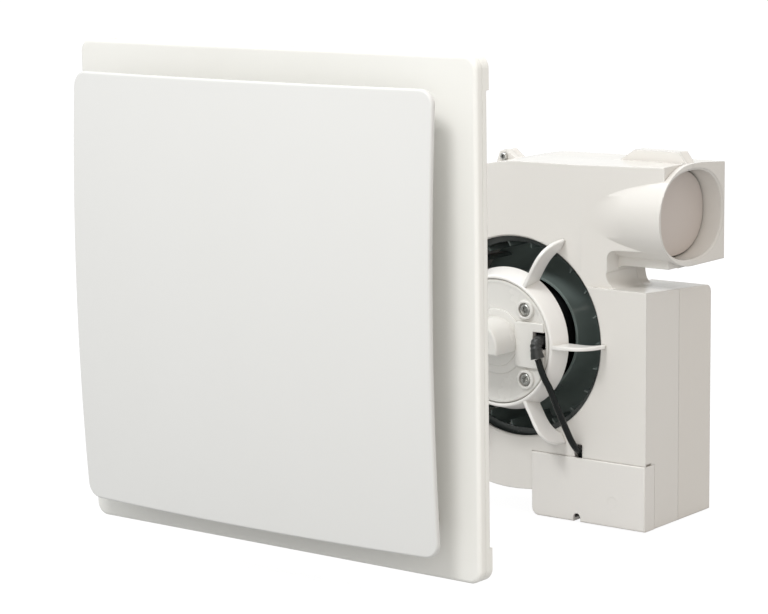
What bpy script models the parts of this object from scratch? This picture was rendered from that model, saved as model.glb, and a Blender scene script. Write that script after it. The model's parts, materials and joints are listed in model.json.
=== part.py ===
"""Flush bathroom extractor fan with its facade pulled forward. Units are
millimetres in the constants, metres in the meshes. The origin is where the
impeller axis meets the flat rear plane of the unit; the unit faces -Y, the
outlet blows along +X, +Z is up."""
import math

import bmesh
import bpy

for ob in list(bpy.data.objects):
    bpy.data.objects.remove(ob, do_unlink=True)
for block in list(bpy.data.meshes) + list(bpy.data.materials):
    (bpy.data.meshes if isinstance(block, bpy.types.Mesh) else bpy.data.materials).remove(block)

# ---- driving dimensions, mm ------------------------------------------------
MM = 0.001
GAP = 0.3            # between pieces that touch
FACE_Y = -76.7       # flat front of the unit
SPLIT_Y = -38.4      # joint plane of the two shells
SCROLL_BACK_Y = -14.0
WALL = 2.2
SCROLL_TOP_R = 112.6
SCROLL_BOTTOM_R = 100.0
BOX_RIGHT_X = 98.5
BOX_TOP_Z = 36.5
BOX_BOTTOM_Z = -115.0
BOX_LEFT_X = 12.3
NECK_X = 66.6
NECK_BACK_Y = -28.0
SLANT_X = 50.0       # the upper front face leans back from here
SLANT = 0.213
OUT_X = 107.8        # outlet end plane
OUT_TOP_Z, OUT_BOTTOM_Z = 113.2, 49.4
OUT_MID_Z = (OUT_TOP_Z + OUT_BOTTOM_Z) / 2
BORE_HALF_Y, BORE_HALF_Z = 36.0, 27.9
INLET_R = 64.7
IMPELLER_R = 66.0
HUB_FRONT_Y = -98.0
PANEL_X, PANEL_Y, PANEL_Z = -40.0, -268.7, 46.1   # centre of the facade's face
PANEL_HALF = 150.0
PANEL_RIM = 12.3
OPENING_HALF = 105.0
PLATE_HALF_X, PLATE_HALF_Z = 135.8, 132.2
PLATE_CORNER, PLATE_CROWN_X, PLATE_CROWN_Z = 20.7, 6.5, 5.2
FLAP_X, FLAP_Y = 90.0, -33.4
DISC_X = 92.3          # rear of the flap's disc, in front of its pin


# ---- materials ----------------------------------------------------------------
def finish(name, rgb, rough, metal=0.0):
    m = bpy.data.materials.new(name)
    m.use_nodes = True
    b = m.node_tree.nodes["Principled BSDF"]
    b.inputs["Base Color"].default_value = (*rgb, 1)
    b.inputs["Roughness"].default_value = rough
    b.inputs["Metallic"].default_value = metal
    return m


WHITE = finish("white_abs", (0.80, 0.79, 0.76), 0.35)
PANEL = finish("facade_white", (0.82, 0.83, 0.81), 0.5)
DARK = finish("impeller_plastic", (0.035, 0.045, 0.045), 0.3)
BLACK = finish("black_motor", (0.012, 0.013, 0.013), 0.25)
RUBBER = finish("black_rubber", (0.015, 0.016, 0.016), 0.5)
ZINC = finish("zinc_steel", (0.6, 0.6, 0.58), 0.35, 1.0)
STEEL = finish("bright_steel", (0.55, 0.55, 0.55), 0.25, 1.0)
COPPER = finish("copper_winding", (0.6, 0.25, 0.1), 0.35, 1.0)
LAMINATE = finish("core_steel", (0.3, 0.3, 0.31), 0.5, 1.0)
BOARD = finish("circuit_board", (0.03, 0.12, 0.05), 0.5)
FILTER = finish("filter_mesh", (0.28, 0.29, 0.28), 0.9)


# ---- mesh helpers -------------------------------------------------------------
def add(name, verts, faces, mat, origin=(0, 0, 0), guide=False):
    bm = bmesh.new()
    vs = [bm.verts.new([(c - o) * MM for c, o in zip(v, origin)]) for v in verts]
    for f in faces:
        bm.faces.new([vs[i] for i in f])
    bmesh.ops.recalc_face_normals(bm, faces=bm.faces)
    if bm.calc_volume(signed=True) < 0:
        bmesh.ops.reverse_faces(bm, faces=bm.faces)
    me = bpy.data.meshes.new(name)
    bm.to_mesh(me)
    bm.free()
    ob = bpy.data.objects.new(name, me)
    ob.location = [o * MM for o in origin]
    bpy.context.scene.collection.objects.link(ob)
    if mat:
        me.materials.append(mat)
    if guide:
        ob.hide_render = True
        ob.display_type = "WIRE"
    return ob


def smooth(ob, angle=35):
    ob.data.shade_smooth()
    ob.data.set_sharp_from_angle(angle=math.radians(angle))
    return ob


def prism_y(name, pts, y0, y1, mat=None, guide=False):
    n = len(pts)
    verts = [(x, y0, z) for x, z in pts] + [(x, y1, z) for x, z in pts]
    faces = [tuple(range(n)), tuple(range(2 * n - 1, n - 1, -1))]
    faces += [(i, i + n, (i + 1) % n + n, (i + 1) % n) for i in range(n)]
    return add(name, verts, faces, mat, guide=guide)


def prism_z(name, pts, z0, z1, mat=None, guide=False, origin=(0, 0, 0)):
    n = len(pts)
    verts = [(x, y, z0) for x, y in pts] + [(x, y, z1) for x, y in pts]
    faces = [tuple(range(n)), tuple(range(2 * n - 1, n - 1, -1))]
    faces += [(i, i + n, (i + 1) % n + n, (i + 1) % n) for i in range(n)]
    return add(name, verts, faces, mat, guide=guide, origin=origin)


def prism_x(name, pts, x0, x1, mat=None, guide=False, origin=(0, 0, 0)):
    n = len(pts)
    verts = [(x0, y, z) for y, z in pts] + [(x1, y, z) for y, z in pts]
    faces = [tuple(range(n)), tuple(range(2 * n - 1, n - 1, -1))]
    faces += [(i, i + n, (i + 1) % n + n, (i + 1) % n) for i in range(n)]
    return add(name, verts, faces, mat, guide=guide, origin=origin)


def box(name, lo, hi, mat=None, guide=False):
    return prism_y(name, [(lo[0], lo[2]), (hi[0], lo[2]), (hi[0], hi[2]), (lo[0], hi[2])],
                   lo[1], hi[1], mat, guide)


def turned(name, profile, n, mat=None, centre=(0, 0), guide=False, origin=(0, 0, 0)):
    """Closed profile of (radius, y), spun about the Y axis through centre (x, z)."""
    cx, cz = centre
    verts, rings = [], []
    for r, y in profile:
        if r < 1e-6:
            rings.append([len(verts)] * n)
            verts.append((cx, y, cz))
        else:
            rings.append([len(verts) + i for i in range(n)])
            for i in range(n):
                a = 2 * math.pi * i / n
                verts.append((cx + r * math.cos(a), y, cz + r * math.sin(a)))
    faces = []
    m = len(profile)
    for k in range(m):
        a, b = rings[k], rings[(k + 1) % m]
        if a[0] == a[-1] and b[0] == b[-1]:
            continue
        for i in range(n):
            j = (i + 1) % n
            f = []
            for v in (a[i], a[j], b[j], b[i]):
                if v not in f:
                    f.append(v)
            if len(f) > 2:
                faces.append(tuple(f))
    return add(name, verts, faces, mat, guide=guide, origin=origin)


def swept(name, path, radii, n, mat=None, guide=False):
    """Round bar through the points of path."""
    verts, faces = [], []
    side = None
    for k, p in enumerate(path):
        a = path[max(k - 1, 0)]
        b = path[min(k + 1, len(path) - 1)]
        t = [b[i] - a[i] for i in range(3)]
        ln = math.sqrt(sum(c * c for c in t))
        t = [c / ln for c in t]
        if side is None:
            side = (1, 0, 0) if abs(t[0]) < 0.8 else (0, 0, 1)
        d = sum(side[i] * t[i] for i in range(3))
        u = [side[i] - d * t[i] for i in range(3)]
        ln = math.sqrt(sum(c * c for c in u))
        u = [c / ln for c in u]
        side = u
        w = [t[1] * u[2] - t[2] * u[1], t[2] * u[0] - t[0] * u[2], t[0] * u[1] - t[1] * u[0]]
        for i in range(n):
            g = 2 * math.pi * i / n
            verts.append(tuple(p[c] + radii[k] * (math.cos(g) * u[c] + math.sin(g) * w[c])
                               for c in range(3)))
    for k in range(len(path) - 1):
        for i in range(n):
            j = (i + 1) % n
            faces.append((k * n + i, k * n + j, (k + 1) * n + j, (k + 1) * n + i))
    faces.append(tuple(range(n)))
    faces.append(tuple(range((len(path) - 1) * n, len(path) * n)))
    return add(name, verts, faces, mat, guide=guide)


def boolean(ob, other, operation="DIFFERENCE"):
    m = ob.modifiers.new(operation.lower() + "_" + other.name, "BOOLEAN")
    m.operation = operation
    m.solver = "EXACT"
    m.object = other
    return ob


def circle(cx, cz, r, n, a0=0.0):
    return [(cx + r * math.cos(a0 + 2 * math.pi * i / n), cz + r * math.sin(a0 + 2 * math.pi * i / n))
            for i in range(n)]


def rounded(cx, cz, hx, hz, r, steps=4):
    pts = []
    for sx, sz, a0 in ((1, 1, 0), (-1, 1, 90), (-1, -1, 180), (1, -1, 270)):
        for i in range(steps + 1):
            a = math.radians(a0 + 90 * i / steps)
            pts.append((cx + sx * (hx - r) + r * math.cos(a), cz + sz * (hz - r) + r * math.sin(a)))
    return pts


def squircle(cy, cz, a, b, n, power=2.3):
    pts = []
    for i in range(n):
        t = 2 * math.pi * i / n
        c, s = math.cos(t), math.sin(t)
        pts.append((cy + a * math.copysign(abs(c) ** (2 / power), c),
                    cz + b * math.copysign(abs(s) ** (2 / power), s)))
    return pts


def scroll_outer(deg):
    """Outer radius of the scroll from the top (90) round the left to the bottom (270)."""
    return SCROLL_TOP_R + (SCROLL_BOTTOM_R - SCROLL_TOP_R) * (deg - 90) / 180


def scroll_inner(deg):
    """Radius of the air path: grows clockwise from the tongue (38) to the top (-270)."""
    if deg > -90:
        return 69 + (38 - deg) * 0.225
    return 97.8 + (-90 - deg) * 0.07


def at(r, deg):
    return (r * math.cos(math.radians(deg)), r * math.sin(math.radians(deg)))


# ---- the two shells ----------------------------------------------------------------
def shell_outline(out_x):
    pts = [(out_x, OUT_BOTTOM_Z), (out_x, OUT_TOP_Z), (0.0, SCROLL_TOP_R)]
    pts += [at(scroll_outer(d), d) for d in range(98, 278, 8)]
    pts += [(BOX_LEFT_X, -99.0), (BOX_LEFT_X, BOX_BOTTOM_Z + 5), (BOX_LEFT_X + 1.5, BOX_BOTTOM_Z + 1.5),
            (BOX_LEFT_X + 5, BOX_BOTTOM_Z), (BOX_RIGHT_X, BOX_BOTTOM_Z), (BOX_RIGHT_X, BOX_TOP_Z),
            (NECK_X + 5.9, BOX_TOP_Z), (NECK_X + 2.4, BOX_TOP_Z + 3), (NECK_X + 0.7, BOX_TOP_Z + 6.5),
            (NECK_X, BOX_TOP_Z + 9.5), (NECK_X + 0.8, OUT_BOTTOM_Z - 2), (NECK_X + 2.9, OUT_BOTTOM_Z - 0.4),
            (NECK_X + 6.4, OUT_BOTTOM_Z)]
    return pts


def air_outline():
    pts = [(85.0, OUT_BOTTOM_Z + 2.3), (85.0, OUT_TOP_Z - WALL), (0.0, OUT_TOP_Z - WALL - 0.6)]
    pts += [at(scroll_inner(-360 + d), d) for d in range(100, 271, 10)]
    pts += [at(scroll_inner(d), d) for d in range(-80, 39, 10)]
    pts += [(60.5, OUT_BOTTOM_Z + 0.5), (66.0, OUT_BOTTOM_Z + 2.3)]
    return pts


def lug(name, x, z, y0, y1, guide=True):
    d = math.hypot(x, z)
    ux, uz = x / d, z / d
    tx, tz = -uz, ux
    pts = [(x + ux * a + tx * b, z + uz * a + tz * b)
           for a, b in ((-12, -13), (4.2, -4.5), (4.2, 4.5), (-12, 13))]
    return prism_y(name, pts, y0, y1, guide=guide)


LUGS = [(-31.0, 110.5), (-111.5, 8.0), (-80.0, -75.5)]

wedge_pts = [(SLANT_X, FACE_Y), (SLANT_X, FACE_Y - 30), (125.0, FACE_Y - 30),
             (125.0, FACE_Y + SLANT * (125 - SLANT_X))]
roof_pts = [(FACE_Y - 3, BOX_TOP_Z + 0.2), (3.0, BOX_TOP_Z - 5.0), (3.0, BOX_TOP_Z + 9), (FACE_Y - 3, BOX_TOP_Z + 9)]
neck_gap = ((57.0, NECK_BACK_Y, BOX_TOP_Z - 0.01), (110.0, 5.0, OUT_BOTTOM_Z - 0.01))

front = prism_y("volute_front", shell_outline(104.0), FACE_Y, SPLIT_Y - GAP / 2, WHITE)
boolean(front, prism_z("cut_slant", wedge_pts, BOX_TOP_Z - 0.01, 140, guide=True))
# the neck notch reaches higher in front, up to the underside of the outlet tube
notch_pts = [(67.2, 45.5), (67.2, 56.0), (68.2, 58.4), (70.2, 59.7), (73.2, 60.2), (125.0, 60.2), (125.0, 45.5)]
boolean(front, prism_y("cut_high_notch", notch_pts, FACE_Y - 5, -60.0, guide=True))
half_tube = [p for p in squircle(SPLIT_Y, OUT_MID_Z, 38.6, (OUT_TOP_Z - OUT_BOTTOM_Z) / 2, 56, 2.05)
             if p[0] < SPLIT_Y - 0.3]
half_tube = [(SPLIT_Y - GAP / 2, OUT_TOP_Z)] + half_tube + [(SPLIT_Y - GAP / 2, OUT_BOTTOM_Z)]
boolean(front, prism_x("join_tube", half_tube, 52.0, OUT_X, guide=True), "UNION")
for i, (x, z) in enumerate(LUGS):
    boolean(front, lug(f"join_front_lug{i}", x, z, SPLIT_Y - 5.5, SPLIT_Y - GAP / 2), "UNION")
for s, side in ((1, "top"), (-1, "under")):
    z0 = OUT_MID_Z + s * ((OUT_TOP_Z - OUT_BOTTOM_Z) / 2 - 1)
    z1 = OUT_MID_Z + s * ((OUT_TOP_Z - OUT_BOTTOM_Z) / 2 + (6.8 if s > 0 else 2.0))
    bump = [(54.5, z0), (66.6, z1), (98.6, z1), (105.0, z0)] if s > 0 else [(70.5, z0), (74.0, z1), (99.0, z1), (105.0, z0)]
    boolean(front, prism_y("join_front_ridge_" + side, bump, -40.6, SPLIT_Y - GAP / 2, guide=True), "UNION")
    globals()["ridge_" + side] = bump

# air path, kept off the terminal compartment and off the leaning face
air_front = prism_y("cut_air_front", air_outline(), FACE_Y + WALL, SPLIT_Y + 1, guide=True)
boolean(air_front, prism_z("trim_slant", [(x, y + WALL + 0.3) for x, y in wedge_pts], 20, 140, guide=True))
boolean(air_front, box("trim_compartment", (10.0, -90, -140), (120, -46.0, -71.1), guide=True))
boolean(air_front, box("trim_cable_notch", (42.5, -90, -100), (53.5, -60.0, -62.4), guide=True))
boolean(air_front, box("trim_high_notch", (64.6, -90, 30.0), (125.0, -57.8, 62.4), guide=True))
boolean(front, air_front)
bore_pts = squircle(SPLIT_Y + 0.2, OUT_MID_Z, BORE_HALF_Y, BORE_HALF_Z, 40)
bore = prism_x("cut_bore", bore_pts, 60.0, OUT_X + 2, guide=True)
boolean(front, bore)
boolean(front, prism_y("cut_inlet", circle(0, 0, INLET_R, 48), FACE_Y - 5, FACE_Y + 5, guide=True))
electronics = [at(scroll_inner(d) + WALL, d) for d in range(20, -49, -8)]
electronics = [(68.5, 31.0)] + electronics + [(62.0, -69.0), (BOX_RIGHT_X - WALL, -69.0), (BOX_RIGHT_X - WALL, 31.0)]
boolean(front, prism_y("cut_electronics_front", electronics, FACE_Y + WALL, SPLIT_Y + 1, guide=True))
boolean(front, box("cut_lid_seat", (BOX_LEFT_X - 1, FACE_Y - 2, -120), (BOX_RIGHT_X + 2, -66.4, -73.3), guide=True))
boolean(front, box("cut_compartment", (BOX_LEFT_X + WALL, -68, BOX_BOTTOM_Z + WALL),
                   (BOX_RIGHT_X - WALL, -48.0, -75.5), guide=True))
boolean(front, box("cut_cable_notch", (45.2, FACE_Y - 1, -76.0), (51.0, -66, -65.0), guide=True))
boolean(front, box("cut_wire_way", (72.0, -60, -77.0), (80.0, -50, -67.5), guide=True))
boolean(front, prism_x("cut_roof_front", roof_pts, NECK_X + 0.4, 103, guide=True))
for i, (x, z) in enumerate(LUGS):
    boolean(front, prism_y(f"cut_front_lug{i}", circle(x, z, 1.8, 12), -50, -30, guide=True))

rear = prism_y("volute_rear", shell_outline(OUT_X), SPLIT_Y + GAP / 2, 0.0, WHITE)
back_cut = [(-140, -140), (57.0, -140), (57.0, BOX_TOP_Z), (65.0, BOX_TOP_Z), (65.0, 140), (-140, 140)]
boolean(rear, prism_y("cut_back", back_cut, SCROLL_BACK_Y, 5, guide=True))
boolean(rear, turned("join_back_boss", [(0, -15.0), (20.0, -15.0), (20.0, -1.0), (19.0, 0.0), (0, 0.0)], 24, guide=True), "UNION")
for side in ("top", "under"):
    boolean(rear, prism_y("join_rear_ridge_" + side, globals()["ridge_" + side], SPLIT_Y + GAP / 2, -30.6, guide=True), "UNION")
for i, (x, z) in enumerate(LUGS):
    boolean(rear, lug(f"join_rear_lug{i}", x, z, SPLIT_Y + GAP / 2, SPLIT_Y + 5.5), "UNION")
boolean(rear, box("cut_neck_gap", *neck_gap, guide=True))
air_rear = prism_y("cut_air_rear", air_outline(), SPLIT_Y - 1, SCROLL_BACK_Y - WALL, guide=True)
boolean(air_rear, box("trim_neck", (54.6, NECK_BACK_Y - 2.4, 39.4), (70, 0, OUT_BOTTOM_Z + 2.4), guide=True))
boolean(rear, air_rear)
rear_bore = prism_x("cut_rear_bore", bore_pts, 60.0, OUT_X + 2, guide=True)
boolean(rear_bore, box("trim_rear_bore", (59.0, SCROLL_BACK_Y - WALL, 40.0), (67.2, 5.0, 130.0), guide=True))
boolean(rear, rear_bore)
boolean(rear, prism_x("cut_top_slope", [(-28.0, OUT_TOP_Z - 0.01), (3.0, OUT_TOP_Z - 2.5), (3.0, 130), (-28.0, 130)], 56.0, 112, guide=True))
electronics_rear = electronics[:-3] + [(60.0, -70.0), (60.0, BOX_BOTTOM_Z + WALL),
                                       (BOX_RIGHT_X - WALL, BOX_BOTTOM_Z + WALL), (BOX_RIGHT_X - WALL, 28.5)]
electronics_rear[0] = (69.0, 28.5)
boolean(rear, prism_y("cut_electronics_rear", electronics_rear, SPLIT_Y - 1, -WALL, guide=True))
boolean(rear, prism_x("cut_roof_rear", roof_pts, NECK_X + 0.4, 103, guide=True))
boolean(rear, prism_y("cut_grommet_hole", circle(84, -95, 7.0, 24), -5, 3, guide=True))
boolean(rear, prism_z("cut_pin_hole", circle(FLAP_X, FLAP_Y, 1.8, 12), OUT_BOTTOM_Z - 5.6, OUT_TOP_Z + 5.2, guide=True))
for i, (x, z) in enumerate(LUGS):
    boolean(rear, prism_y(f"cut_rear_lug{i}", circle(x, z, 1.8, 12), -50, -30, guide=True))

for i, (x, z) in enumerate(LUGS):
    y = SPLIT_Y - 5.5 - GAP
    smooth(turned(f"housing_screw_{i + 1}", [(0, y - 1.8), (2.0, y - 1.8), (2.7, y - 1.0), (2.7, y), (1.4, y),
                                             (1.4, SPLIT_Y + 8), (0, SPLIT_Y + 9.5)], 12, ZINC, (x, z)))

# ---- outlet flap on its upright pin ----------------------------------------------
smooth(prism_z("flap_pin", circle(FLAP_X, FLAP_Y, 1.5, 16), OUT_BOTTOM_Z - 1.6, OUT_TOP_Z + 4.8, STEEL))
flap = prism_x("non_return_flap", squircle(SPLIT_Y + 0.2, OUT_MID_Z, BORE_HALF_Y - 0.8, BORE_HALF_Z - 0.8, 40),
               DISC_X, DISC_X + 1.6, WHITE, origin=(FLAP_X, FLAP_Y, OUT_MID_Z))
barrel = prism_z("join_flap_barrel", circle(FLAP_X, FLAP_Y, 3.0, 16), OUT_MID_Z - 25.5, OUT_MID_Z + 25.5, guide=True)
boolean(flap, barrel, "UNION")
boolean(flap, prism_z("cut_flap_bore", circle(FLAP_X, FLAP_Y, 1.8, 16), 40, 130, guide=True))

# ---- motor carrier: ring and six arms over the inlet -------------------------------------
carrier = turned("motor_carrier", [(40.0, HUB_FRONT_Y), (42.0, HUB_FRONT_Y), (46.0, -84.0), (33.0, -84.0),
                                   (33.0, -86.0), (40.0, -86.0)], 48, WHITE)
ARM_LONG = [(41.0, -97.4), (50.0, -98.2), (57.5, -98.6), (64.0, -98.0), (68.8, -95.6), (72.4, -91.2), (74.5, -85.8), (75.6, -79.0),
            (75.6, FACE_Y - GAP), (68.6, FACE_Y - GAP), (66.6, -80.2), (62.5, -83.2), (57.0, -84.6), (42.0, -84.4)]
ARM_SHORT = [(41.0, -97.4), (50.0, -97.4), (57.0, -95.8), (62.0, -92.4), (66.0, -87.0), (69.0, -79.0), (69.0, FACE_Y - GAP),
             (66.2, FACE_Y - GAP), (65.0, -80.8), (61.5, -83.6), (57.0, -84.6), (42.0, -84.4)]
for k in range(6):
    ARM = ARM_LONG if k % 3 else ARM_SHORT
    a = math.radians(60 * k)
    ca, sa = math.cos(a), math.sin(a)
    verts = []
    for t in (-1.2, 1.2):
        for r, y in ARM:
            verts.append((r * ca - t * sa, y, r * sa + t * ca))
    n = len(ARM)
    faces = [tuple(range(n)), tuple(range(2 * n - 1, n - 1, -1))]
    faces += [(i, i + n, (i + 1) % n + n, (i + 1) % n) for i in range(n)]
    boolean(carrier, add(f"join_arm{k}", verts, faces, None, guide=True), "UNION")

cover = turned("hub_cover", [(0, -97.6), (38.5, -97.6), (39.7, -96.8), (39.7, -94.8), (0, -94.8)], 48, WHITE)
SCREWS = [at(31.5, a) for a in (45, 135, 225, 315)]
for i, (x, z) in enumerate(SCREWS):
    boolean(cover, prism_y(f"join_boss{i}", circle(x, z, 6.3, 14), -99.0, -88.0, guide=True), "UNION")
boolean(cover, box("join_web", (18.0, -98.8, -14.6), (36.6, -96.0, 14.6), guide=True), "UNION")
boolean(cover, turned("join_stub_base", [(0, -98.9), (15.4, -98.9), (16.0, -98.3), (16.0, -96), (0, -96)], 24, guide=True), "UNION")
stub = [p for p in circle(0, 0, 15.7, 24) if p[1] > -4.6]
stub = [(15.06, -4.6)] + [p for p in stub if p[1] <= 0 and p[0] > 0] + [p for p in stub if p[1] > 0] + \
       [p for p in stub if p[1] <= 0 and p[0] < 0] + [(-15.06, -4.6)]
stub = sorted(set((round(x, 4), round(z, 4)) for x, z in stub), key=lambda p: math.atan2(p[1] + 0.0, p[0]) % (2 * math.pi)
              if p[1] >= 0 else (math.atan2(p[1], p[0]) + (2 * math.pi if p[0] < 0 else 0)))
boolean(cover, prism_y("join_stub", stub, -120.0, -96.0, guide=True), "UNION")
for i, (x, z) in enumerate(SCREWS):
    boolean(cover, turned(f"cut_boss{i}", [(0, -101), (4.4, -101), (4.4, -96.7), (2.1, -96.7), (2.1, -86), (0, -86)], 16, None, (x, z), guide=True))
boolean(cover, box("cut_boot_window", (28.6, -104, -2.0), (37.4, -90, 9.0), guide=True))
for i, (x, z) in enumerate(SCREWS):
    smooth(turned(f"hub_screw_{i + 1}", [(0, -98.9), (2.6, -98.9), (3.9, -97.9), (3.9, -97.0), (1.8, -97.0),
                                         (1.8, -88.6), (0, -87.2)], 12, ZINC, (x, z)))

# ---- motor ------------------------------------------------------------------------
smooth(turned("motor_can", [(28.5, -83.7), (31.5, -83.7), (31.5, -33.0), (9.3, -33.0), (9.3, -41.0), (12.0, -41.0),
                            (12.0, -34.6), (30.0, -34.6), (30.0, -82.2), (28.5, -82.2)], 28, BLACK))
smooth(turned("motor_end_plate", [(9.3, -81.8), (28.0, -81.8), (29.6, -81.8), (29.6, -79.0), (12.0, -79.0), (12.0, -72.0), (9.3, -72.0)],
              24, LAMINATE))
smooth(turned("stator_core", [(16.9, -66.0), (29.6, -66.0), (29.6, -46.0), (16.9, -46.0)], 24, LAMINATE))
smooth(turned("stator_winding_front", [(18.5, -71.5), (20, -73.0), (26.5, -73.0), (28.0, -71.5), (28.0, -66.4), (18.5, -66.4)], 20, COPPER))
smooth(turned("stator_winding_rear", [(18.5, -45.6), (28.0, -45.6), (28.0, -41), (26.5, -39.5), (20, -39.5), (18.5, -41)], 20, COPPER))
smooth(turned("rotor_core", [(4.35, -66.0), (16.4, -66.0), (16.4, -46.0), (4.35, -46.0)], 20, LAMINATE))
smooth(turned("motor_shaft", [(0, -79.0), (3.4, -79.0), (4.0, -78.4), (4.0, -18.2), (3.4, -17.6), (0, -17.6)], 16, STEEL))
for nm, y0, y1 in (("bearing_front", -78.6, -72.6), ("bearing_rear", -40.6, -35.0)):
    smooth(turned(nm, [(4.3, y0), (9.0, y0), (9.0, y1), (4.3, y1)], 16, STEEL))
bell = [(4.3, -31.0), (9.0, -31.0), (9.0, -26.0), (41.0, -26.0), (39.0, -33.0), (37.4, -42.0), (36.8, -52.0), (36.9, -63.0),
        (38.7, -63.0), (39.0, -53.0), (40.4, -44.5), (43.6, -37.0), (49.0, -31.2), (56.5, -27.6), (IMPELLER_R, -26.0),
        (IMPELLER_R, -24.2), (9.0, -24.2), (9.0, -19.2), (4.3, -19.2)]
wheel = turned("impeller", bell, 36, DARK)
boolean(wheel, turned("join_front_ring", [(60.6, -71.4), (IMPELLER_R, -71.4), (IMPELLER_R, -69.6), (60.6, -69.6)],
                      36, guide=True), "UNION")
BLADES = 22
for k in range(BLADES):
    inner, outer = [], []
    for r, lean in ((57.4, 0.0), (65.4, 7.0)):
        a = math.radians(360 * k / BLADES + lean)
        for lst, t in ((inner, -0.6), (outer, 0.6)):
            lst.append((r * math.cos(a) - t * math.sin(a), r * math.sin(a) + t * math.cos(a)))
    boolean(wheel, prism_y(f"join_blade{k}", inner + outer[::-1], -70.4, -25.0, guide=True), "UNION")
smooth(turned("impeller_clip", [(4.3, -18.9), (7.0, -18.9), (7.0, -17.9), (4.3, -17.9)], 16, STEEL))

# ---- lead from the motor to the terminals ---------------------------------------------
smooth(swept("cable_boot", [(33.0, -92.0, 3.6), (33.0, -98.0, 3.6), (33.4, -101.8, 2.2), (34.6, -103.7, -1.5), (35.9, -103.9, -6.5)],
             [3.3, 3.4, 3.6, 4.0, 4.5], 16, RUBBER))
LEAD = [(36.1, -103.9, -7.0), (37.6, -103.0, -13.0), (39.0, -100.6, -20.0), (40.4, -97.6, -26.0), (42.9, -94.0, -37.0),
        (45.2, -89.8, -48.3), (47.2, -85.0, -59.3), (47.9, -81.6, -64.6), (48.1, -78.8, -67.6), (48.1, -74.4, -70.8),
        (48.1, -71.4, -75.0), (48.1, -68.4, -79.0), (48.1, -62.0, -82.0)]
smooth(swept("motor_lead", LEAD, [2.1] * len(LEAD), 12, RUBBER))

# ---- terminal compartment ---------------------------------------------------------------
lid = prism_y("terminal_lid", [(BOX_LEFT_X + 0.3, -73.6), (BOX_LEFT_X + 0.3, BOX_BOTTOM_Z + 5), (BOX_LEFT_X + 1.8, BOX_BOTTOM_Z + 1.5),
                               (BOX_LEFT_X + 5, BOX_BOTTOM_Z - 0.2), (BOX_RIGHT_X, BOX_BOTTOM_Z - 0.2), (BOX_RIGHT_X, -73.6)],
              -78.0, -66.7, WHITE)
boolean(lid, prism_y("cut_lid_hollow", [(BOX_LEFT_X + 2.5, -75.6), (BOX_LEFT_X + 2.5, BOX_BOTTOM_Z + 5), (BOX_LEFT_X + 6, BOX_BOTTOM_Z + 2),
                                        (BOX_RIGHT_X - 2, BOX_BOTTOM_Z + 2), (BOX_RIGHT_X - 2, -75.6)], -76.0, -60, guide=True))
boolean(lid, box("cut_lid_cable", (45.2, -76.5, -77), (51.0, -60, -72), guide=True))
boolean(lid, prism_y("cut_lid_notch", circle(46.5, BOX_BOTTOM_Z - 0.5, 3.4, 16), -80, -60, guide=True))
block = box("terminal_block", (56.0, -62.0, -104.0), (92.0, -48.3, -88.0), RUBBER)
for i in range(4):
    boolean(block, prism_y(f"cut_terminal{i}", circle(61.5 + 8.3 * i, -96, 2.4, 12), -64, -54, guide=True))
clamp = box("cord_clamp", (28.0, -56.0, -101.0), (52.0, -52.5, -93.0), BLACK)
for i, x in enumerate((31.5, 48.5)):
    boolean(clamp, prism_y(f"cut_clamp{i}", circle(x, -97, 1.7, 12), -60, -50, guide=True))
    smooth(turned(f"clamp_screw_{i + 1}", [(0, -58.4), (2.6, -58.4), (2.6, -56.3), (1.4, -56.3), (1.4, -49.2), (0, -48.4)],
                  12, ZINC, (x, -97)))
smooth(turned("entry_grommet", [(4.0, -4.8), (9.5, -4.8), (9.5, -2.5), (6.7, -2.5), (6.7, -0.2), (4.0, -0.2)], 24, RUBBER, (84, -95)))
box("control_board", (92.4, -66.0, -58.0), (94.0, -8.0, 22.0), BOARD)
smooth(prism_x("board_capacitor", circle(-40, 4, 7.5, 20), 81.5, 92.1, BLACK))

# ---- facade ---------------------------------------------------------------------------
N_CORNER = 4


def panel_ring(half_x, half_z, r):
    return rounded(PANEL_X, PANEL_Z, half_x, half_z, r, N_CORNER)


def stacked(name, rings, mat, origin=(0, 0, 0), close=True, guide=False):
    """Loops of the same count, each (points, y), joined in order and closed back on the first."""
    n = len(rings[0][0])
    verts, faces = [], []
    for pts, y in rings:
        for p in pts:
            verts.append((p[0], y(*p) if callable(y) else y, p[1]))
    m = len(rings)
    for k in range(m if close else m - 1):
        a, b = k * n, ((k + 1) % m) * n
        for i in range(n):
            j = (i + 1) % n
            faces.append((a + i, a + j, b + j, b + i))
    if not close:
        faces.append(tuple(range(n)))
        faces.append(tuple(range((m - 1) * n, m * n)))
    return add(name, verts, faces, mat, origin, guide)


PY = PANEL_Y
frame = stacked("facade_frame", [
    (panel_ring(PANEL_HALF - 2, PANEL_HALF - 2, 6), PY),
    (panel_ring(PANEL_HALF, PANEL_HALF, 8), PY + 2),
    (panel_ring(PANEL_HALF, PANEL_HALF, 8), PY + PANEL_RIM),
    (panel_ring(PANEL_HALF - 3, PANEL_HALF - 3, 5), PY + PANEL_RIM),
    (panel_ring(PANEL_HALF - 3, PANEL_HALF - 3, 5), PY + 3),
    (panel_ring(OPENING_HALF, OPENING_HALF, 10), PY + 3),
    (panel_ring(OPENING_HALF, OPENING_HALF, 10), PY)], PANEL)
for i, (w, h) in enumerate(((2 * PANEL_HALF + 4, 2 * (PANEL_HALF - 20)), (2 * (PANEL_HALF - 20), 2 * PANEL_HALF + 4))):
    boolean(frame, box(f"cut_rim_step{i}", (PANEL_X - w / 2, PY + PANEL_RIM - 2.8, PANEL_Z - h / 2),
                       (PANEL_X + w / 2, PY + PANEL_RIM + 2, PANEL_Z + h / 2), guide=True))


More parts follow.
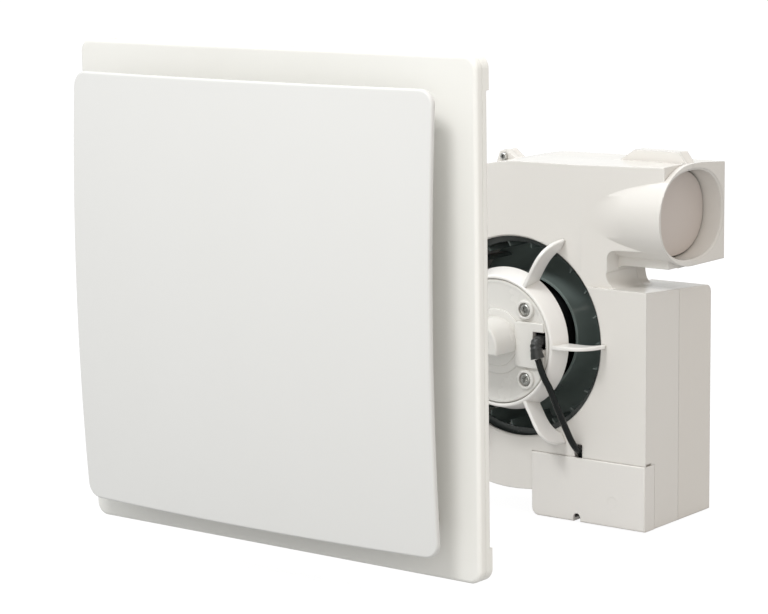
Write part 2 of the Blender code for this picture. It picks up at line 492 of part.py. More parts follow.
def crown(x, z, back=0.0):
    u, v = (x - PANEL_X) / PLATE_HALF_X, (z - PANEL_Z) / PLATE_HALF_Z
    return PY - PLATE_CORNER - PLATE_CROWN_X * (1 - u * u) - PLATE_CROWN_Z * (1 - v * v) + back


def plate_ring(s):
    return rounded(PANEL_X, PANEL_Z, PLATE_HALF_X * s, PLATE_HALF_Z * s, 9 * s if s < 1 else 9, N_CORNER)


SHARES = (0.12, 0.4, 0.65, 0.85, 0.97)
rings = [(plate_ring(s), crown) for s in SHARES] + [(plate_ring(1.0), lambda x, z: crown(x, z) + 1.0)]
rings += [(plate_ring(1.0), lambda x, z: crown(x, z) + 3.2), (plate_ring(0.985), lambda x, z: crown(x, z) + 3.2)]
rings += [(plate_ring(s), lambda x, z: crown(x, z) + 2.6) for s in (0.97, 0.85, 0.65, 0.4, 0.12)]
plate = stacked("facade_plate", rings, PANEL, close=False)
PEGS = [(PANEL_X + sx * 115, PANEL_Z + sz * 115) for sx in (-1, 1) for sz in (-1, 1)]
for i, (x, z) in enumerate(PEGS):
    boolean(plate, prism_y(f"join_peg{i}", circle(x, z, 4.0, 16), PY - 22.0, PY - 1.5, guide=True), "UNION")
    ring = turned(f"plate_clip_{i + 1}", [(4.3, PY - 9.5), (6.3, PY - 9.5), (6.3, PY - GAP), (4.3, PY - GAP)], 20, STEEL, (x, z))
    boolean(ring, box(f"cut_clip{i}", (x - 1.4, PY - 12, z), (x + 1.4, PY + 2, z + 12), guide=True))

filter_frame = stacked("filter_frame", [
    (panel_ring(111.0, 111.0, 9), PY - 6.3), (panel_ring(111.0, 111.0, 9), PY - GAP),
    (panel_ring(103.0, 103.0, 7), PY - GAP), (panel_ring(103.0, 103.0, 7), PY - 6.3)], WHITE)
mat_ = prism_y("filter_mat", panel_ring(102.7, 102.7, 6.7), PY - 5.0, PY - 1.5, FILTER)
boolean(mat_, prism_y("cut_filter_hole", circle(0, 0, 21.0, 32), PY - 20, PY + 20, guide=True))

SPIDER_Y0, SPIDER_Y1 = PY + 3.3, PY + 6.3
spider = turned("facade_spider", [(16.4, PY - 15.0), (19.4, PY - 15.0), (19.4, SPIDER_Y1), (16.4, SPIDER_Y1)], 32, WHITE)
SPIDER_ENDS = [(70.5, 70.5), (-62.0, 156.0), (-65.0, -65.0), (62.0, -64.5)]
for i, (x, z) in enumerate(SPIDER_ENDS):
    d = math.hypot(x, z)
    ux, uz = x / d, z / d
    pts = [(ux * 17.5 - uz * 5, uz * 17.5 + ux * 5), (ux * 17.5 + uz * 5, uz * 17.5 - ux * 5),
           (x + ux * 5 + uz * 5, z + uz * 5 - ux * 5), (x + ux * 5 - uz * 5, z + uz * 5 + ux * 5)]
    boolean(spider, prism_y(f"join_spoke{i}", pts, SPIDER_Y0, SPIDER_Y1, guide=True), "UNION")
for i, (x, z) in enumerate(SPIDER_ENDS):
    boolean(spider, prism_y(f"cut_spoke{i}", circle(x, z, 1.7, 12), PY - 5, PY + 12, guide=True))
    boolean(frame, prism_y(f"cut_frame_hole{i}", circle(x, z, 1.7, 12), PY + 1.0, PY + 12, guide=True))
    smooth(turned(f"spider_screw_{i + 1}", [(0, SPIDER_Y1 + 2.3), (3.2, SPIDER_Y1 + 2.3), (3.2, SPIDER_Y1 + GAP), (1.4, SPIDER_Y1 + GAP),
                                            (1.4, PY + 1.4), (0, PY + 1.4)], 12, ZINC, (x, z)))

for ob in (front, rear, carrier, cover, wheel, plate, frame):
    smooth(ob, 30)
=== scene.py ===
"""A flush bathroom extractor fan: detailed looks built round its CAD pieces.

Lengths are millimetres in the part's own frame: the unit faces -Y, the outlet
blows along +X and +Z is up. Meshes are made in metres.
"""
import json
import math

import bmesh
import bpy
from mathutils import Matrix, Vector

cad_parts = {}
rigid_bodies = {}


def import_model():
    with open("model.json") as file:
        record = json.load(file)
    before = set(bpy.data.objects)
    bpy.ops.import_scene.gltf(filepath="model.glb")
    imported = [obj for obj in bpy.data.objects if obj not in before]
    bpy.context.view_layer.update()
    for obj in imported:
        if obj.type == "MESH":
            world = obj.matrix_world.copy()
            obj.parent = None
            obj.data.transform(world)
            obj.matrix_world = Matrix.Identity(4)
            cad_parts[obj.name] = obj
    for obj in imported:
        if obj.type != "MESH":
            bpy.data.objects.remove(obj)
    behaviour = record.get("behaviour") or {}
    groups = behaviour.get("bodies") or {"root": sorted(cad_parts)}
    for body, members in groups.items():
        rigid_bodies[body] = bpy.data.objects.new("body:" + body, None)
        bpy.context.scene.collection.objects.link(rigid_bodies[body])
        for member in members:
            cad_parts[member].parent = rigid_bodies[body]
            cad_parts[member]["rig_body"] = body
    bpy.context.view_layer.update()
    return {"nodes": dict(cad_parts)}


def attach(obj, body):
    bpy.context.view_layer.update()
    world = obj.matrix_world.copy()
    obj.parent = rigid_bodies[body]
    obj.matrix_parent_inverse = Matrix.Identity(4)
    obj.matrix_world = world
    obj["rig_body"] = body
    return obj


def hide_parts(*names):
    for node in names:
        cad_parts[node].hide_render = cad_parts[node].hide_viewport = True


for ob in list(bpy.data.objects):
    bpy.data.objects.remove(ob, do_unlink=True)

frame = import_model()

MM = 0.001
PI = math.pi

# ---- dimensions shared by several pieces -----------------------------------
FACE_Y, SPLIT_Y, BACK_Y = -76.7, -38.4, -14.0  # unit front, parting plane, scroll back
WALL = 2.2
TOP_R, BOTTOM_R = 112.6, 100.0  # scroll radius straight up and straight down
BOX_LEFT, BOX_RIGHT = 12.3, 98.5  # box below the outlet
BOX_BOTTOM, BOX_TOP = -115.0, 36.5
NECK_X = 66.6  # left side of the gap between box and outlet
OUTLET_X = 107.8
OUTLET_TOP, OUTLET_BOTTOM = 113.2, 49.4
OUTLET_MID = (OUTLET_TOP + OUTLET_BOTTOM) / 2
SLANT_X, SLANT = 50.0, 0.213  # where the outlet front starts to recede, and its slope
INLET_R = 64.7
PANEL_X, PANEL_Y, PANEL_Z = -40.0, -268.7, 46.1  # centre of the facade frame's front
PANEL_HALF = 150.0
PLATE_HALF_X, PLATE_HALF_Z = 135.8, 132.2
FLAP_X, FLAP_Y, DISC_X = 90.0, -33.4, 92.3  # hinge line of the flap, left face of its disc

# Screw places as (x, z)
EARS = [(-31.0, 110.5), (-111.5, 8.0), (-80.0, -75.5)]
PANEL_SCREWS = [(70.5, 70.5), (-62.0, 156.0), (-65.0, -65.0), (62.0, -64.5)]


# ---- shader nodes -----------------------------------------------------------
class Nodes:
    """Short calls for adding nodes to a tree."""

    def __init__(self, tree):
        self.tree = tree
        tree.nodes.clear()

    def put(self, socket, value):
        """Link another socket, or set a value; colours are given as three numbers."""
        if isinstance(value, bpy.types.NodeSocket):
            self.tree.links.new(value, socket)
        elif socket.type == "RGBA":
            socket.default_value = (*value, 1)
        else:
            socket.default_value = value

    def fill(self, node, **inputs):
        """Set inputs by name, with _ for a space."""
        for name, value in inputs.items():
            self.put(node.inputs[name.replace("_", " ")], value)
        return node

    def add(self, kind, **inputs):
        return self.fill(self.tree.nodes.new("ShaderNode" + kind), **inputs)

    def remap(self, value, between, to=(0.0, 1.0), smooth=False):
        node = self.add("MapRange", Value=value)
        if smooth:
            node.interpolation_type = "SMOOTHSTEP"
        # inputs 1 to 4 are from min, from max, to min and to max
        for i, limit in enumerate((*between, *to), start=1):
            node.inputs[i].default_value = limit
        return node.outputs[0]

    def math(self, operation, first, second):
        node = self.add("Math")
        node.operation = operation
        self.put(node.inputs[0], first)
        self.put(node.inputs[1], second)
        return node.outputs[0]

    def mix(self, factor, first, second):
        """Blend two colours."""
        node = self.add("Mix")
        node.data_type = "RGBA"
        self.put(node.inputs[0], factor)
        self.put(node.inputs[6], first)
        self.put(node.inputs[7], second)
        return node.outputs[2]

    def mix_shaders(self, factor, first, second):
        node = self.add("MixShader", Fac=factor)
        self.put(node.inputs[1], first)
        self.put(node.inputs[2], second)
        return node.outputs[0]


class Shader(Nodes):
    """A material with one Principled surface."""

    def __init__(self, name):
        self.material = bpy.data.materials.new(name)
        self.material.use_nodes = True
        super().__init__(self.material.node_tree)
        self.output = self.add("OutputMaterial")
        self.surface = self.add("BsdfPrincipled")
        self.put(self.output.inputs[0], self.surface.outputs[0])
        self.position = self.add("TexCoord").outputs["Object"]

    def finish(self, **inputs):
        self.fill(self.surface, **inputs)
        return self.material

    def stretched(self, x, y, z):
        return self.add("Mapping", Vector=self.position, Scale=(x, y, z)).outputs[0]

    def noise(self, scale, detail=2.0, rough=0.5, vector=None):
        return self.add("TexNoise", Vector=vector or self.position, Scale=scale, Detail=detail,
                        Roughness=rough).outputs["Fac"]

    def bevel(self, radius):
        node = self.add("Bevel", Radius=radius * MM)
        node.samples = 4
        return node.outputs[0]

    def edge_mask(self, rounded):
        """1 on rounded edges, 0 on flats: how far the rounded normal leaves the true one."""
        dot = self.add("VectorMath")
        dot.operation = "DOT_PRODUCT"
        self.put(dot.inputs[0], rounded)
        self.put(dot.inputs[1], self.add("NewGeometry").outputs["Normal"])
        return self.remap(dot.outputs["Value"], (1.0, 0.8))

    def occlusion(self, distance):
        node = self.add("AmbientOcclusion", Distance=distance * MM)
        node.samples = 4
        return node.outputs["AO"]

    def bump(self, height, strength, distance, normal=None):
        node = self.add("Bump", Height=height, Strength=strength, Distance=distance * MM)
        if normal is not None:
            self.put(node.inputs["Normal"], normal)
        return node.outputs[0]


# ---- materials ----------------------------------------------------------------
def moulding(name, *, light, shade, dust_and_shade, rough, grain, depth, radius=0.0, edge=None,
             crevice=6.0, ripple=0.0, coat=0.0, ior=1.5):
    """Injection-moulded plastic.

    light and shade are the flow-mark colours, and dust the colour of the specks and of corners and
    creases, where it is painted shade on most mouldings and a paler tint on the darkest parts;
    edge is the colour of a painted highlight on rounded edges. grain is the noise scale of the
    surface and depth its height.
    depth, radius (edge rounding), crevice (reach of the corner colour) and ripple are in mm.
    """
    tree = Shader(name)
    flow = tree.noise(scale=14, detail=3, rough=0.55, vector=tree.stretched(1, 1, 0.6))
    blotch = tree.noise(scale=75, detail=4, rough=0.6)
    colour = tree.mix(tree.remap(flow, (0.2, 0.8)), light, shade)
    speck = tree.remap(tree.noise(scale=900, detail=2, rough=0.6), (0.72, 0.82))
    colour = tree.mix(tree.math("MULTIPLY", speck, 0.03), colour, dust_and_shade)
    rounded = tree.bevel(radius) if radius else None
    # painted highlight: rounded edges are lightened towards the edge colour
    if edge:
        edge_highlight_share = tree.remap(flow, (0.2, 0.8), to=(0.40, 0.55))
        colour = tree.mix(tree.math("MULTIPLY", tree.edge_mask(rounded), edge_highlight_share), colour, edge)
    # painted shade: corners and creases found by the occlusion are pulled towards the corner colour; on
    # the darkest parts that colour is paler, a speck-like tint
    if crevice:
        painted_corner_shade = tree.remap(tree.occlusion(crevice), (0.25, 0.85), to=(0.55, 0.0))
        colour = tree.mix(painted_corner_shade, colour, dust_and_shade)
    normal = tree.bump(tree.noise(scale=grain, detail=3, rough=0.6), 0.6, depth, rounded)
    if ripple:
        waves = tree.noise(scale=26, detail=1, rough=0.4, vector=tree.stretched(1, 1, 0.5))
        normal = tree.bump(waves, 0.7, ripple, normal)
    return tree.finish(
        Base_Color=colour,
        Roughness=tree.remap(blotch, (0.2, 0.8), to=(rough - 0.02, rough + 0.03)),
        IOR=ior, Coat_Weight=coat, Coat_Roughness=0.12, Normal=normal)


def metal(name, *, light, dark, rough, marks=(1500, 1500, 1500)):
    """Plated or ground steel; marks is the noise scale of the tool marks on each axis."""
    tree = Shader(name)
    patch = tree.noise(scale=420, detail=4, rough=0.6)
    dull = tree.noise(scale=900, detail=3)
    tooling = tree.noise(scale=1.0, vector=tree.stretched(*marks))
    return tree.finish(
        Base_Color=tree.mix(tree.remap(patch, (0.35, 0.7)), light, dark),
        Metallic=1.0,
        Roughness=tree.remap(dull, (0.3, 0.7), to=(rough - 0.07, rough + 0.12)),
        Normal=tree.bump(tooling, strength=0.35, distance=0.02, normal=tree.bevel(0.15)))


def banded(name, *, light, dark, pitch, axis, metallic, rough, depth):
    """Stacked laminations or laid wire: fine bands along one axis, pitch and depth in mm."""
    tree = Shader(name)
    wave = tree.add("TexWave", Scale=0.314 / (pitch * MM), Distortion=0.6, Detail=1.0,
                    Vector=tree.position)
    wave.bands_direction = axis
    bands = wave.outputs["Fac"]
    stain = tree.remap(tree.noise(scale=120, detail=3), (0.4, 0.7), to=(0, 0.5))
    dull = tree.noise(scale=300, detail=3)
    return tree.finish(
        Base_Color=tree.mix(stain, tree.mix(bands, dark, light), [c * 0.75 for c in dark]),
        Metallic=metallic,
        Roughness=tree.remap(dull, (0.3, 0.7), to=(rough - 0.06, rough + 0.1)),
        Normal=tree.bump(bands, strength=0.8, distance=depth))


def open_mat(name):
    """Coarse non-woven filter mat: crossing fibres, darker pockets between them."""
    tree = Shader(name)
    cells = tree.add("TexVoronoi", Scale=360, Vector=tree.position)
    cells.feature = "DISTANCE_TO_EDGE"
    strand = tree.remap(cells.outputs["Distance"], (0.02, 0.22), to=(1.0, 0.0))
    fuzz = tree.noise(scale=2600, detail=3, rough=0.7)
    colour = tree.mix(strand, (0.09, 0.095, 0.09), (0.36, 0.37, 0.36))
    colour = tree.mix(tree.remap(fuzz, (0.4, 0.7), to=(0, 0.5)), colour, (0.5, 0.5, 0.48))
    height = tree.math("ADD", strand, tree.math("MULTIPLY", fuzz, 0.5))
    return tree.finish(Base_Color=colour, Roughness=0.95, Sheen_Weight=0.35,
                       Normal=tree.bump(height, strength=0.9, distance=0.5))


def laminate_board(name):
    """Green circuit board: a fine crossed weave under a brick pattern of tracks."""
    tree = Shader(name)
    across = tree.noise(scale=1.0, detail=1, vector=tree.stretched(200, 3000, 200))
    upright = tree.noise(scale=1.0, detail=1, vector=tree.stretched(200, 200, 3000))
    weave = tree.remap(tree.math("MULTIPLY", across, upright), (0.15, 0.4))
    colour = tree.mix(weave, (0.015, 0.10, 0.035), (0.03, 0.17, 0.06))
    turned_position = tree.add("Mapping", Vector=tree.position, Rotation=(0, PI / 2, 0),
                               Scale=(70, 70, 70)).outputs[0]
    track = tree.add("TexBrick", Vector=turned_position, Mortar_Size=0.035,
                     Scale=1.0).outputs["Fac"]
    colour = tree.mix(tree.math("MULTIPLY", track, 0.6), colour, (0.10, 0.30, 0.12))
    return tree.finish(Base_Color=colour, Roughness=0.35,
                       Normal=tree.bump(track, strength=0.4, distance=0.05))


FACADE = moulding(
    "facade_satin_white", light=(0.805, 0.807, 0.795), shade=(0.795, 0.797, 0.783),
    dust_and_shade=(0.62, 0.60, 0.54), rough=0.42, grain=2600, depth=0.035, crevice=0)
RIM = moulding(
    "facade_frame_white", light=(0.845, 0.842, 0.812), shade=(0.830, 0.825, 0.790),
    edge=(0.90, 0.895, 0.87), dust_and_shade=(0.62, 0.60, 0.54), rough=0.46, grain=2100, depth=0.055,
    radius=0.7, crevice=5)
ABS = moulding(
    "housing_gloss_white", light=(0.765, 0.748, 0.718), shade=(0.757, 0.740, 0.708),
    edge=(0.84, 0.82, 0.79), dust_and_shade=(0.56, 0.52, 0.47), rough=0.20, grain=3200, depth=0.018,
    radius=1.0, ripple=0.02)
ABS_REAR = moulding(
    "housing_rear_warm_white", light=(0.750, 0.728, 0.692), shade=(0.742, 0.718, 0.680),
    edge=(0.81, 0.79, 0.75), dust_and_shade=(0.54, 0.50, 0.44), rough=0.22, grain=3000, depth=0.022,
    radius=1.2, ripple=0.02)
HUB = moulding(
    "hub_gloss_white", light=(0.890, 0.880, 0.862), shade=(0.872, 0.862, 0.840),
    edge=(0.93, 0.92, 0.90), dust_and_shade=(0.58, 0.55, 0.50), rough=0.22, grain=3200, depth=0.02,
    radius=0.7, ripple=0.015, crevice=5)
COVER = moulding(
    "hub_cover_white", light=(0.780, 0.775, 0.750), shade=(0.762, 0.755, 0.728),
    edge=(0.85, 0.845, 0.82), dust_and_shade=(0.56, 0.53, 0.48), rough=0.26, grain=3200, depth=0.02,
    radius=0.6, ripple=0.015, crevice=5)
LID = moulding(
    "lid_white", light=(0.785, 0.770, 0.745), shade=(0.765, 0.748, 0.722),
    edge=(0.85, 0.835, 0.81), dust_and_shade=(0.58, 0.54, 0.49), rough=0.34, grain=2400, depth=0.04,
    radius=0.8, ripple=0.02)
FLAP = moulding(
    "flap_white", light=(0.640, 0.585, 0.550), shade=(0.615, 0.560, 0.525),
    dust_and_shade=(0.42, 0.38, 0.34), rough=0.30, grain=2600, depth=0.03, radius=0.5, crevice=5)
INNER = moulding(
    "moulded_white_inner", light=(0.80, 0.795, 0.77), shade=(0.77, 0.76, 0.73),
    dust_and_shade=(0.55, 0.53, 0.48), rough=0.45, grain=2200, depth=0.04, radius=0.6)
# painted light: the impeller is a dark grey-green moulding, but its bell is coloured much lighter to
# brighten the shaded inside of the inlet
WHEEL_BELL_PAINTED_LIGHT = moulding(
    "impeller_bell_painted_light", light=(0.240, 0.292, 0.279), shade=(0.208, 0.257, 0.245),
    edge=(0.34, 0.39, 0.375), dust_and_shade=(0.16, 0.19, 0.18), rough=0.20, grain=1800, depth=0.02,
    radius=0.5, coat=0.4, crevice=3)
WHEEL_BLADE = moulding(
    "impeller_blades", light=(0.120, 0.148, 0.142), shade=(0.100, 0.126, 0.120),
    dust_and_shade=(0.07, 0.09, 0.085), rough=0.24, grain=1800, depth=0.02, coat=0.3, crevice=0)
# painted shade: the front ring of the same moulding is coloured near-black, far darker than the bell,
# though it faces the lamps
WHEEL_RING_PAINTED_SHADE = moulding(
    "impeller_ring_painted_shade", light=(0.036, 0.044, 0.043), shade=(0.030, 0.037, 0.036),
    edge=(0.10, 0.12, 0.115), dust_and_shade=(0.03, 0.035, 0.034), rough=0.26, grain=1800, depth=0.02,
    radius=0.4, coat=0.3, crevice=0)
# painted shade: near-black copy of the impeller material for the hollow of the bell round the motor
WHEEL_HOLLOW_PAINTED_SHADE = moulding(
    "impeller_hollow_painted_shade", light=(0.012, 0.014, 0.014), shade=(0.010, 0.011, 0.011),
    dust_and_shade=(0.02, 0.02, 0.02), rough=0.24, grain=1800, depth=0.02, coat=0.3, crevice=0)
CAN = moulding(
    "motor_gloss_black", light=(0.010, 0.011, 0.012), shade=(0.016, 0.017, 0.018),
    edge=(0.10, 0.105, 0.11), dust_and_shade=(0.04, 0.04, 0.04), rough=0.16, grain=1400, depth=0.02,
    radius=0.4, coat=0.5, crevice=0)
PVC = moulding(
    "lead_black_sheath", light=(0.006, 0.008, 0.008), shade=(0.010, 0.012, 0.012),
    dust_and_shade=(0.03, 0.03, 0.03), rough=0.17, grain=1500, depth=0.01, crevice=0, ior=1.36)
BOOT = moulding(
    "boot_black_rubber", light=(0.020, 0.022, 0.022), shade=(0.030, 0.032, 0.032),
    edge=(0.10, 0.105, 0.105), dust_and_shade=(0.08, 0.08, 0.078), rough=0.40, grain=1700, depth=0.04,
    radius=0.25, crevice=2)
TERMINAL = moulding(
    "terminal_grey", light=(0.26, 0.27, 0.28), shade=(0.22, 0.23, 0.24),
    dust_and_shade=(0.12, 0.12, 0.12), rough=0.5, grain=1500, depth=0.04, radius=0.4)
DARK_PART = moulding(
    "component_black", light=(0.02, 0.021, 0.023), shade=(0.03, 0.031, 0.033),
    dust_and_shade=(0.06, 0.06, 0.06), rough=0.35, grain=1200, depth=0.03, radius=0.4)
ZINC = metal("zinc_screw", light=(0.62, 0.62, 0.60), dark=(0.36, 0.37, 0.36), rough=0.30)
STEEL = metal("ground_steel", light=(0.60, 0.60, 0.60), dark=(0.42, 0.42, 0.43), rough=0.24,
              marks=(300, 5200, 300))
LAMINATION = banded("steel_laminations", light=(0.42, 0.42, 0.43), dark=(0.12, 0.12, 0.13),
                    pitch=1.0, axis="Y", metallic=1.0, rough=0.42, depth=0.05)
WIRE = banded("enamelled_wire", light=(0.68, 0.30, 0.12), dark=(0.26, 0.09, 0.03),
              pitch=0.8, axis="DIAGONAL", metallic=0.7, rough=0.32, depth=0.2)
FILTER = open_mat("filter_mat_grey")
BOARD = laminate_board("board_green")


# ---- mesh helpers ---------------------------------------------------------------
def mesh(name, verts, faces, mat=None):
    bm = bmesh.new()
    points = [bm.verts.new(Vector(v) * MM) for v in verts]
    for face in faces:
        bm.faces.new([points[i] for i in face])
    bmesh.ops.remove_doubles(bm, verts=bm.verts, dist=2e-6)
    bmesh.ops.recalc_face_normals(bm, faces=bm.faces)
    if bm.calc_volume(signed=True) < 0:
        bmesh.ops.reverse_faces(bm, faces=bm.faces)
    return new_object(name, bm, [mat] if mat else [])


def new_object(name, bm, mats):
    """An object in the scene from a bmesh, which is used up."""
    data = bpy.data.meshes.new(name)
    bm.to_mesh(data)
    bm.free()
    ob = bpy.data.objects.new(name, data)
    bpy.context.scene.collection.objects.link(ob)
    for mat in mats:
        data.materials.append(mat)
    return ob


def discard(ob):
    data = ob.data
    bpy.data.objects.remove(ob)
    bpy.data.meshes.remove(data)


def settle(ob):
    """Turn the modifiers into the mesh."""
    depsgraph = bpy.context.evaluated_depsgraph_get()
    data = bpy.data.meshes.new_from_object(ob.evaluated_get(depsgraph))
    old = ob.data
    ob.modifiers.clear()
    ob.data = data
    data.name = ob.name
    bpy.data.meshes.remove(old)


def add(solid):
    return solid, "UNION"


def cut(solid):
    return solid, "DIFFERENCE"


def carve(ob, *steps):
    """Apply add(solid) and cut(solid) steps in order; the solids are used up."""
    for solid, operation in steps:
        modifier = ob.modifiers.new(operation, "BOOLEAN")
        modifier.operation = operation
        modifier.solver = "EXACT"
        modifier.object = solid
    settle(ob)
    for solid, _ in steps:
        discard(solid)


def round_edges(ob, test, width, segments):
    """Round the sharp edges that pass test(midpoint in mm, low, high).

    low and high are the Y components of the two face normals, the smaller first.
    """
    bm = bmesh.new()
    bm.from_mesh(ob.data)
    bmesh.ops.remove_doubles(bm, verts=bm.verts, dist=2e-6)
    bmesh.ops.dissolve_limit(bm, angle_limit=math.radians(0.03), verts=bm.verts, edges=bm.edges)
    picked = []
    for edge in bm.edges:
        if len(edge.link_faces) != 2 or edge.calc_face_angle(0.0) < math.radians(28):
            continue
        mid = (edge.verts[0].co + edge.verts[1].co) / 2 / MM
        if test(mid, *sorted(face.normal.y for face in edge.link_faces)):
            picked.append(edge)
    bmesh.ops.bevel(bm, geom=picked, offset=width * MM, offset_type="OFFSET", segments=segments,
                    profile=0.5, affect="EDGES", clamp_overlap=True)
    bm.to_mesh(ob.data)
    bm.free()


def finish(ob, body, node, angle):
    """Shade smooth up to an angle, hand the piece to its CAD body and hide its CAD node."""
    ob.data.shade_smooth()
    ob.data.set_sharp_from_angle(angle=math.radians(angle))
    modifier = ob.modifiers.new("weighted", "WEIGHTED_NORMAL")
    modifier.keep_sharp = True
    modifier.weight = 60
    settle(ob)
    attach(ob, body)
    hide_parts(node)


def loft(name, rings, mat=None, closed=False, caps=True):
    """Rings of (x, y, z) points with the same count, joined in order."""
    count = len(rings[0])
    verts = [p for ring in rings for p in ring]
    faces = []
    for k in range(len(rings) if closed else len(rings) - 1):
        a, b = k * count, ((k + 1) % len(rings)) * count
        for i in range(count):
            j = (i + 1) % count
            faces.append((a + i, a + j, b + j, b + i))
    if caps and not closed:
        faces.append(tuple(range(count)))
        faces.append(tuple(range(len(verts) - count, len(verts))))
    return mesh(name, verts, faces, mat)


def prism_x(name, points, x0, x1):
    """(y, z) outline drawn out along X."""
    return loft(name, [[(x, y, z) for y, z in points] for x in (x0, x1)])


def prism_y(name, points, y0, y1, mat=None):
    """(x, z) outline drawn out along Y."""
    return loft(name, [[(x, y, z) for x, z in points] for y in (y0, y1)], mat)


def prism_z(name, points, z0, z1):
    """(x, y) outline drawn out along Z."""
    return loft(name, [[(x, y, z) for x, y in points] for z in (z0, z1)])


def block(name, low, high):
    outline = [(low[0], low[2]), (high[0], low[2]), (high[0], high[2]), (low[0], high[2])]
    return prism_y(name, outline, low[1], high[1])


def turned(name, profile, sides, mat=None, centre=(0, 0)):
    """(radius, y) profile spun about Y through an (x, z) centre.

    A profile that starts on the axis also ends there; any other closes on itself.
    """
    rings = [[(x, y, z) for x, z in circle(*centre, radius, sides)] for radius, y in profile]
    return loft(name, rings, mat, closed=profile[0][0] != 0, caps=False)


def spline(points, per):
    """Catmull-Rom curve with per steps between points of any dimension."""
    curve = []
    last = len(points) - 1
    for i in range(last):
        near = [points[min(max(i + k - 1, 0), last)] for k in range(4)]
        for step in range(per):
            t = step / per
            curve.append(tuple(
                0.5 * (2 * b + (c - a) * t + (2 * a - 5 * b + 4 * c - d) * t * t
                       + (3 * b - a - 3 * c + d) * t ** 3)
                for a, b, c, d in zip(*near)))
    curve.append(tuple(points[-1]))
    return curve


def swept(name, path, radii, sides, mat):
    """Round bar along a path, one radius for each point."""
    rings = []
    side = Vector((1, 0, 0))
    for k, (point, radius) in enumerate(zip(path, radii)):
        ahead, behind = path[min(k + 1, len(path) - 1)], path[max(k - 1, 0)]
        along = (Vector(ahead) - Vector(behind)).normalized()
        side = (side - along * side.dot(along)).normalized()
        up = along.cross(side)
        ring = []
        for i in range(sides):
            a = 2 * PI * i / sides
            offset = (side * math.cos(a) + up * math.sin(a)) * radius
            ring.append(tuple(Vector(point) + offset))
        rings.append(ring)
    return loft(name, rings, mat)


def circle(x, z, radius, count):
    angles = [2 * PI * i / count for i in range(count)]
    return [(x + radius * math.cos(a), z + radius * math.sin(a)) for a in angles]


def polar(radius, degrees):
    return radius * math.cos(math.radians(degrees)), radius * math.sin(math.radians(degrees))


def arc(x, z, radius, start, end, steps):
    """Arc between two angles in degrees, both ends included."""
    offsets = [polar(radius, start + (end - start) * i / steps) for i in range(steps + 1)]
    return [(x + dx, z + dz) for dx, dz in offsets]


def quarter(radius, steps):
    """(out, along) pairs of a quarter round, from (0, 0) to (radius, radius)."""
    angles = [PI / 2 * i / steps for i in range(steps + 1)]
    return [(radius * math.sin(a), radius * (1 - math.cos(a))) for a in angles]


def squircle(y, z, half_y, half_z, count, power):
    points = []
    for i in range(count):
        a = 2 * PI * i / count
        c, s = math.cos(a), math.sin(a)
        points.append((y + half_y * math.copysign(abs(c) ** (2 / power), c),
                       z + half_z * math.copysign(abs(s) ** (2 / power), s)))
    return points


def join(name, parts):
    """One object from several closed shells that touch or run into each other."""
    bm = bmesh.new()
    mats = []
    for part in parts:
        start = len(bm.faces)
        mat = part.data.materials[0]
        if mat not in mats:
            mats.append(mat)
        bm.from_mesh(part.data)
        bm.faces.ensure_lookup_table()
        for face in bm.faces[start:]:
            face.material_index = mats.index(mat)
    for part in parts:
        discard(part)
    return new_object(name, bm, mats)


# ---- facade -----------------------------------------------------------------------
def panel_outline(half_x, half_z, radius, corner_steps, side_steps):
    """Rounded rectangle about the panel centre, its sides divided evenly."""
    corners = []
    for q, (sx, sz) in enumerate(((1, 1), (-1, 1), (-1, -1), (1, -1))):
        x = PANEL_X + sx * (half_x - radius)
        z = PANEL_Z + sz * (half_z - radius)
        corners.append(arc(x, z, radius, 90 * q, 90 * q + 90, corner_steps))
    points = []
    for q, corner in enumerate(corners):
        (x0, z0), (x1, z1) = corner[-1], corners[(q + 1) % 4][0]
        points += corner
        for i in range(1, side_steps):
            t = i / side_steps
            points.append((x0 + (x1 - x0) * t, z0 + (z1 - z0) * t))
    return points


def facade_frame():
    edge_r = 2.6
    # (half width, corner radius, distance behind the front)
    section = [(105.0, 10.0, 3.0), (105.0, 10.0, 0.6), (105.18, 10.2, 0.18), (105.6, 10.6, 0),
               (115.0, 9.5, 0), (130.0, 8.5, 0), (144.0, 6.5, 0)]
    section += [(PANEL_HALF - edge_r + out, 5.6 + out * 0.9, along)
                for out, along in quarter(edge_r, 7)]
    section += [(PANEL_HALF, 8.0, 5.2), (149.75, 7.8, 5.4), (149.75, 7.8, 5.8),
                (PANEL_HALF, 8.0, 6.0), (PANEL_HALF, 8.0, 12.0), (149.7, 7.7, 12.3),
                (147.4, 5.4, 12.3), (147.1, 5.1, 12.0), (147.0, 5.0, 3.0)]
    rings = [[(x, PANEL_Y + back, z) for x, z in panel_outline(half, half, radius, 14, 14)]
             for half, radius, back in section]
    panel = loft("facade_frame_moulding", rings, RIM, closed=True)
    # shallow steps in the back edge, along the middle of each side
    steps = [cut(block("rim_step", (PANEL_X - width / 2, PANEL_Y + 9.5, PANEL_Z - height / 2),
                       (PANEL_X + width / 2, PANEL_Y + 16, PANEL_Z + height / 2)))
             for width, height in ((304, 260), (260, 304))]
    steps += [cut(prism_y("screw_well", circle(x, z, 1.7, 20), PANEL_Y + 1.0, PANEL_Y + 12))
              for x, z in PANEL_SCREWS]
    carve(panel, *steps)
    finish(panel, "facade", "facade_frame", 40)


def crown(x, z):
    """Front of the cushion-shaped plate."""
    u, v = (x - PANEL_X) / PLATE_HALF_X, (z - PANEL_Z) / PLATE_HALF_Z
    return PANEL_Y - 20.7 - 6.5 * (1 - u * u) - 5.2 * (1 - v * v)


def plate_ring(inset, back, scale=1.0):
    outline = panel_outline((PLATE_HALF_X - inset) * scale, (PLATE_HALF_Z - inset) * scale,
                            (9.0 - inset) * scale, 12, 22)
    return [(x, crown(x, z) + back, z) for x, z in outline]


